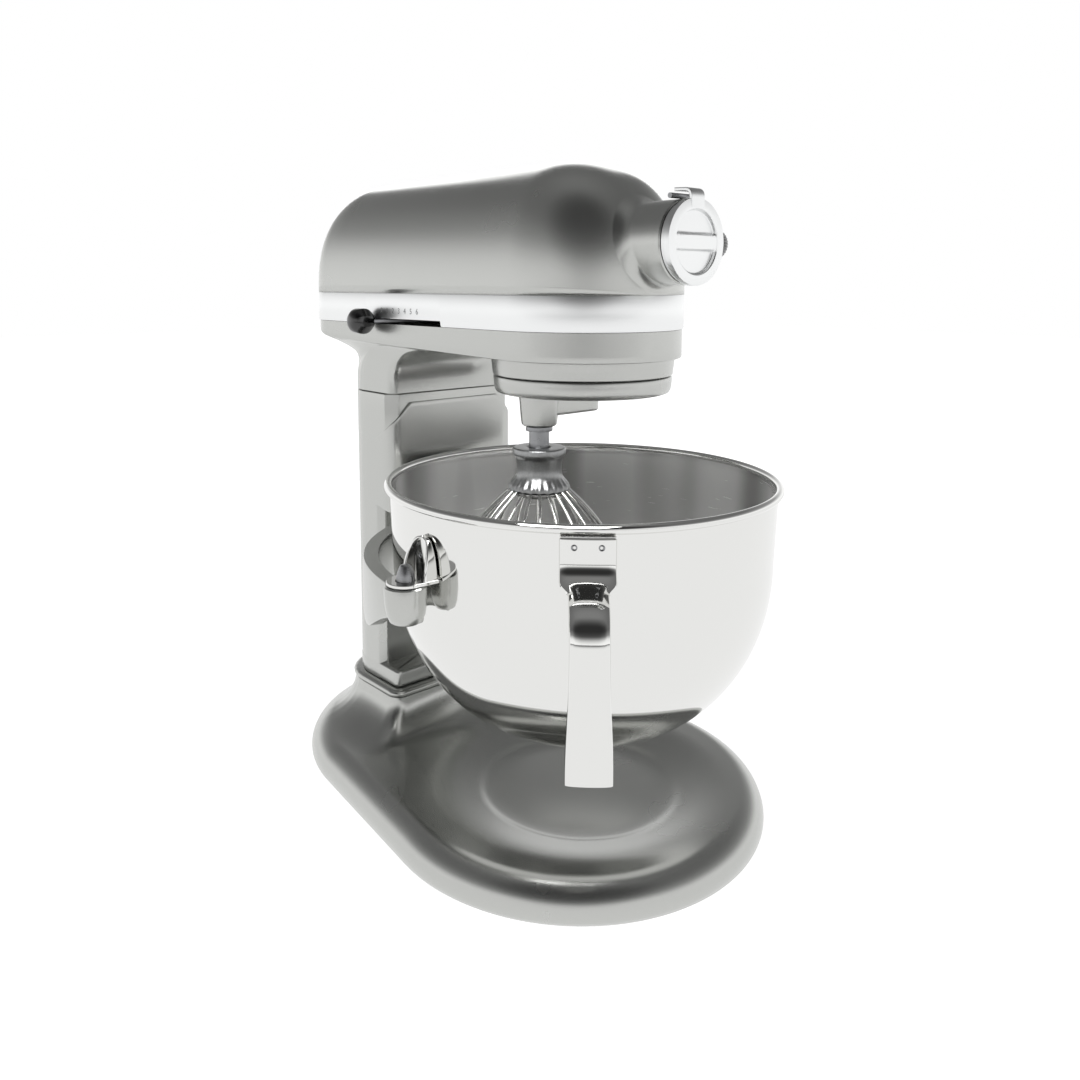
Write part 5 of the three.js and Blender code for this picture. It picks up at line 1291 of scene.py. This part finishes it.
def wire_loop(number):
    """One loop in its own plane: an eased bulge from the hub to the widest place, then a quarter
    ellipse to the bottom, mirrored. Each loop passes a little above the one before."""
    turn = math.pi * number / WIRES
    top = HUB_TOP - 24.0
    bottom = wires_low[2] + WIRE + NEST * number
    reach_out = WIRE_REACH - 0.35 * NEST * number
    share = np.linspace(1, 0, 26)[:-1]
    bulge = WIRE_TOP_REACH + (reach_out - WIRE_TOP_REACH) * (1 - share**2.2)
    upper = np.stack([bulge, WIDEST_Z + (top - WIDEST_Z) * share], axis=-1)
    a = np.linspace(0, np.pi / 2, 22)
    lower = np.stack([reach_out * np.cos(a), WIDEST_Z - (WIDEST_Z - bottom) * np.sin(a)], axis=-1)
    half_loop = np.vstack([upper, lower])
    other_half = half_loop[-2::-1] * [-1, 1]
    loop = resample(np.vstack([half_loop, other_half]), 104)
    spoke_way = np.array([math.cos(turn), math.sin(turn), 0])
    path = np.array([BEATER_X, 0, 0]) + loop[:, :1] * spoke_way + loop[:, 1:] * [0, 0, 1.0]
    return skin(carried(path, circle(WIRE, 10), (-spoke_way[1], spoke_way[0], 0)), caps=True)


cup = [
    [0.01, HUB_TOP - 25.4], [15.2, HUB_TOP - 25.4], [17.6, HUB_TOP - 26.0], [17.9, HUB_TOP - 27.6],
    [17.0, HUB_TOP - 28.4], [0.01, HUB_TOP - 28.6],
]
piece(
    "whisk_wire_cage", "beater", [POLISHED],
    *[wire_loop(number) for number in range(WIRES)], skin(turned(cup, BEATER_X, 0, 0, 64)),
    replaces=["whisk_wires"], slot="polished_steel", smooth=60,
)

# %% [markdown]
# ## Crank of the bowl lift and the small parts at the back
# The lift's crank stands beside the column on the right: a boss on the shaft, a flat lever and an egg
# shaped knob. Behind are the cord's rubber gland and the screw of the end cover.

# %% Lift lever and knob
lift_low, lift_high = span("lift_lever")
lift_axis = span("lift_shaft")
LIFT_Y = (lift_axis[0][1] + lift_axis[1][1]) / 2
LIFT_Z = 140.0
lift_x = lift_low[0]
boss_line = [[0.01, lift_x], [10.2, lift_x], [11, lift_x + 0.8], [11, lift_high[0] - 1.6],
             [10.4, lift_high[0] - 0.5],
             [9, lift_high[0]], [0.01, lift_high[0]]]
lever_z = np.linspace(LIFT_Z, lift_high[2] - 2, 40)
wide = 6.0 - 1.8 * soft_step(lever_z, LIFT_Z + 8, LIFT_Z + 44)
bar_x = lift_x + 8.6 + block(2.5, 1.0, 1.2)[:, 0]
bar_y = block(2.5, 1.0, 0.8)[:, 1]
flat_bar = [with_height(np.column_stack([bar_x, LIFT_Y + w * bar_y]), z) for w, z in zip(wide, lever_z)]
piece(
    "lift_lever_forged", "lift_crank", [SILVER],
    skin(turned(boss_line, 0, LIFT_Y, LIFT_Z, 64, "x")), skin(np.stack(flat_bar), caps=True),
    replaces=["lift_lever"], slot="silver_trim", smooth=35,
)
egg_low, egg_high = span("lift_knob")
egg_turn = np.linspace(0.02, np.pi - 0.02, 40)
egg_half = (egg_high[2] - egg_low[2]) / 2
egg_radius = (egg_high[0] - egg_low[0]) / 2
egg_out = egg_radius * np.sin(egg_turn) * (1 - 0.10 * np.cos(egg_turn))
egg = np.stack([egg_out, -egg_half * np.cos(egg_turn)], axis=-1)
egg[:, 0] *= egg_radius / egg[:, 0].max()
egg_middle = (egg_low + egg_high) / 2
egg_points = turned(egg, egg_middle[0], LIFT_Y, egg_middle[2], 64)
piece(
    "lift_knob_moulded", "lift_crank", [BLACK], skin(egg_points, caps=True),
    replaces=["lift_knob"], slot="black_plastic", smooth=60,
)

# %% Cord gland
gland_low, gland_high = span("cord_gland")
gland_z = (gland_low[2] + gland_high[2]) / 2
gland_line = rounded(
    [[3.6, gland_low[1]], [6, gland_low[1]], [6, COLUMN_REAR + 0.4], [8.5, COLUMN_REAR + 0.4],
     [8.3, COLUMN_REAR + 2.4], [6.4, gland_high[1]], [4.2, gland_high[1]], [3.6, gland_high[1] - 1],
     [3.6, gland_low[1]]],
    [0, 0.5, 0.3, 0.6, 1, 0.8, 0.6, 0.5, 0], 5, closed=False)
piece(
    "cord_gland_moulded", "stand", [RUBBER], skin(turned(gland_line, 0, 0, gland_z, 48, "y")),
    replaces=["cord_gland"], slot="rubber",
)

# %% Thumb screw of the end cover
screw_low, screw_high = span("end_cover_screw")
screw_z = (screw_low[2] + screw_high[2]) / 2
head_back = screw_high[1] - 2.0
screw_line = [
    [0.01, screw_low[1]], [1.7, screw_low[1]], [2, screw_low[1] + 0.4], [2, head_back], [3.7, head_back],
    [4, head_back + 0.4], [3.9, head_back + 1.2], [2.9, screw_high[1] - 0.2], [0.01, screw_high[1]],
]
piece(
    "end_cover_screw_turned", "stand", [STEEL], skin(turned(screw_line, 0, 0, screw_z, 48, "y")),
    replaces=["end_cover_screw"], slot="machined_steel",
)

# %% [markdown]
# ## Air slots of the end cover
# Five slots are cut through the back of the cover with a boolean, because a slot's inside wall shows.

# %% Slots
LOWEST_SLOT = 349.5
SLOT_STEP = 8
outline = block(26, 1.5, 1.4, 6)
cutters = []
for number in range(5):
    slot_z = LOWEST_SLOT + SLOT_STEP * number + outline[:, 1]
    ends = (REAR - 16, REAR + 6)
    rings = [np.column_stack([outline[:, 0], np.full(len(outline), y), slot_z]) for y in ends]
    cutters.append(skin(np.array(rings), caps=True))
cutter = piece("slot_cutter", "stand", [PAINT], *cutters)
vents = end_cover.modifiers.new("air_slots", "BOOLEAN")
vents.operation = "DIFFERENCE"
vents.solver = "EXACT"
vents.object = cutter
bpy.context.view_layer.objects.active = end_cover
bpy.context.view_layer.update()
for modifier in ("wall", "air_slots"):
    with bpy.context.temp_override(object=end_cover, active_object=end_cover):
        bpy.ops.object.modifier_apply(modifier=modifier)
bpy.data.objects.remove(cutter)
print("end cover has", len(end_cover.data.polygons), "faces with its slots")

# %% [markdown]
# ## Frame pieces that stay
# The gears, the motor and the small steel parts inside are shown as they are in the frame, with the
# finish of what they are made of. They show when the cover is opened or the bowl comes down.

# %% Finishes of the kept pieces
KEPT = {
    "machined_steel": STEEL, "cast_paint": PAINT, "polished_steel": POLISHED, "silver_trim": SILVER,
    "black_plastic": CARBON, "rubber": RUBBER, "bronze": BRONZE, "copper": COPPER, "circuit_board": LAMINATE,
}
for part in frame["record"]["subparts"]:
    kept = frame["nodes"][part["node"]]
    if not kept.hide_render:
        kept.data.materials.clear()
        kept.data.materials.append(KEPT[part["material_slot"]])
        print("kept", part["node"], "in", part["material_slot"])

# %% [markdown]
# ## Studio
# The mixer stands on a white sweep in a white studio. What metal shows is the room, so the room's
# brightness changes with height: white low down and dark above, darkest on the camera's side. One lamp
# hangs overhead and gives no glossy light, one lights only the head from behind, and one lights only the
# inside of the bowl and the whisk. The camera itself sees plain white.


# %% Room, floor and lamps
def studio():
    """A world whose brightness is a curve over the height of the direction, darkened behind the camera."""
    world = bpy.data.worlds.new("studio")
    bpy.context.scene.world = world
    world.use_nodes = True
    tree = world.node_tree
    tree.nodes.clear()
    place = node(tree, "ShaderNodeTexCoord")
    parts = node(tree, "ShaderNodeSeparateXYZ", {"Vector": place.outputs["Generated"]})
    up = node(tree, "ShaderNodeMapRange", {"Value": parts.outputs["Z"], "From Min": -1.0, "From Max": 1.0})
    ramp = node(tree, "ShaderNodeValToRGB", {"Fac": up.outputs[0]})
    stops = [
        (-1, 0.9), (0, 1.15), (0.16, 1.0), (0.34, 0.36), (0.6, 0.17), (0.8, 0.16), (0.93, 0.2), (0.99, 0.24),
    ]
    while len(ramp.color_ramp.elements) < len(stops):
        ramp.color_ramp.elements.new(0.5)
    for element, (z, light) in zip(ramp.color_ramp.elements, stops):
        element.position = (z + 1) / 2
        element.color = (light, light, light, 1)
    toward = node(
        tree, "ShaderNodeVectorMath", {0: place.outputs["Generated"], 1: (-0.5, -0.55, 0.67)},
        operation="DOT_PRODUCT"
    )
    dark = node(tree, "ShaderNodeMapRange", {"Value": toward.outputs["Value"],
                                             "From Min": 0.7, "From Max": 0.97,
                                             "To Min": 1.0, "To Max": 0.2}, interpolation_type="SMOOTHSTEP")
    room = node(tree, "ShaderNodeMath", {0: ramp.outputs[0], 1: dark.outputs[0]}, operation="MULTIPLY")
    seen = node(tree, "ShaderNodeLightPath")
    shown = node(
        tree, "ShaderNodeMix", {"Factor": seen.outputs["Is Camera Ray"], "A": room.outputs[0], "B": 1.0}
    )
    light = node(tree, "ShaderNodeBackground", {"Color": (1, 1, 1, 1), "Strength": shown.outputs[0]})
    node(tree, "ShaderNodeOutputWorld", {"Surface": light.outputs[0]})


def sweep_finish():
    """White card. The camera sees a lit card with soft shadows; metal sees an even glow that fades towards
    the dark side of the room, as a lit sweep does."""
    made = bpy.data.materials.new("white_card")
    made.use_nodes = True
    tree = made.node_tree
    tree.nodes.clear()
    seen = node(tree, "ShaderNodeLightPath")
    place = node(tree, "ShaderNodeTexCoord")
    toward = node(
        tree, "ShaderNodeVectorMath", {0: place.outputs["Object"], 1: (-0.66, -0.75, 0.0)},
        operation="DOT_PRODUCT"
    )
    far_off = node(tree, "ShaderNodeMapRange", {"Value": toward.outputs["Value"],
                                                "From Min": 1.1, "From Max": 3.2,
                                                "To Min": 1.0, "To Max": 0.25},
                                                interpolation_type="SMOOTHSTEP")
    card = node(tree, "ShaderNodeBsdfDiffuse", {"Color": (0.45, 0.45, 0.45, 1)})
    away = node(tree, "ShaderNodeVectorMath", {0: place.outputs["Object"]}, operation="LENGTH")
    whiter = node(tree, "ShaderNodeMapRange", {"Value": away.outputs["Value"],
                                               "From Min": 0.3, "From Max": 0.9,
                                               "To Min": 0.9, "To Max": 1.1})
    glow = node(tree, "ShaderNodeEmission", {"Strength": whiter.outputs[0]})
    bounce = node(tree, "ShaderNodeEmission", {"Strength": far_off.outputs[0]})
    both = node(tree, "ShaderNodeAddShader", {0: card.outputs[0], 1: glow.outputs[0]})
    mixed = node(
        tree, "ShaderNodeMixShader",
        {0: seen.outputs["Is Camera Ray"], 1: bounce.outputs[0], 2: both.outputs[0]}
    )
    node(tree, "ShaderNodeOutputMaterial", {"Surface": mixed.outputs[0]})
    return made


def soft_box(name, place, aim, size, power):
    """A square area lamp at a place, turned to face a point. Sizes in metres and power in watts."""
    lamp = bpy.data.objects.new(name, bpy.data.lights.new(name, "AREA"))
    lamp.data.size = size
    lamp.data.energy = power
    lamp.location = place
    lamp.rotation_euler = (Vector(aim) - Vector(place)).to_track_quat("-Z", "Y").to_euler()
    bpy.context.scene.collection.objects.link(lamp)
    return lamp


def only_on(lamp, *names):
    """Light linking keeps the lamp off everything but the pieces named."""
    lit = bpy.data.collections.new(lamp.name + "_lights")
    for name in names:
        lit.objects.link(bpy.data.objects[name])
    lamp.light_linking.receiver_collection = lit


studio()
floor_mesh = bpy.data.meshes.new("sweep")
floor_mesh.from_pydata([(-6, -6, 0), (6, -6, 0), (6, 6, 0), (-6, 6, 0)], [], [(0, 1, 2, 3)])
floor_mesh.materials.append(sweep_finish())
floor = bpy.data.objects.new("sweep", floor_mesh)
bpy.context.scene.collection.objects.link(floor)
overhead = soft_box("overhead_soft_box", (0.1, 0.5, 1.9), (0, 0, 0.3), 1.8, 9)
overhead.visible_glossy = False
bowl_light = soft_box("bowl_soft_box", (-0.75, -0.55, 1.5), (0, -0.05, 0.15), 1.1, 26)
only_on(bowl_light, "bowl_spun", "whisk_hub_cast", "whisk_wire_cage", "beater_shaft_turned")
head_light = soft_box("head_soft_box", (1.8, 2.1, 1.35), (0, 0, 0.4), 1.9, 22)
only_on(head_light, "motor_housing_shell", "end_cover_shell")
bpy.context.scene.view_settings.view_transform = "Standard"
print("studio ready")
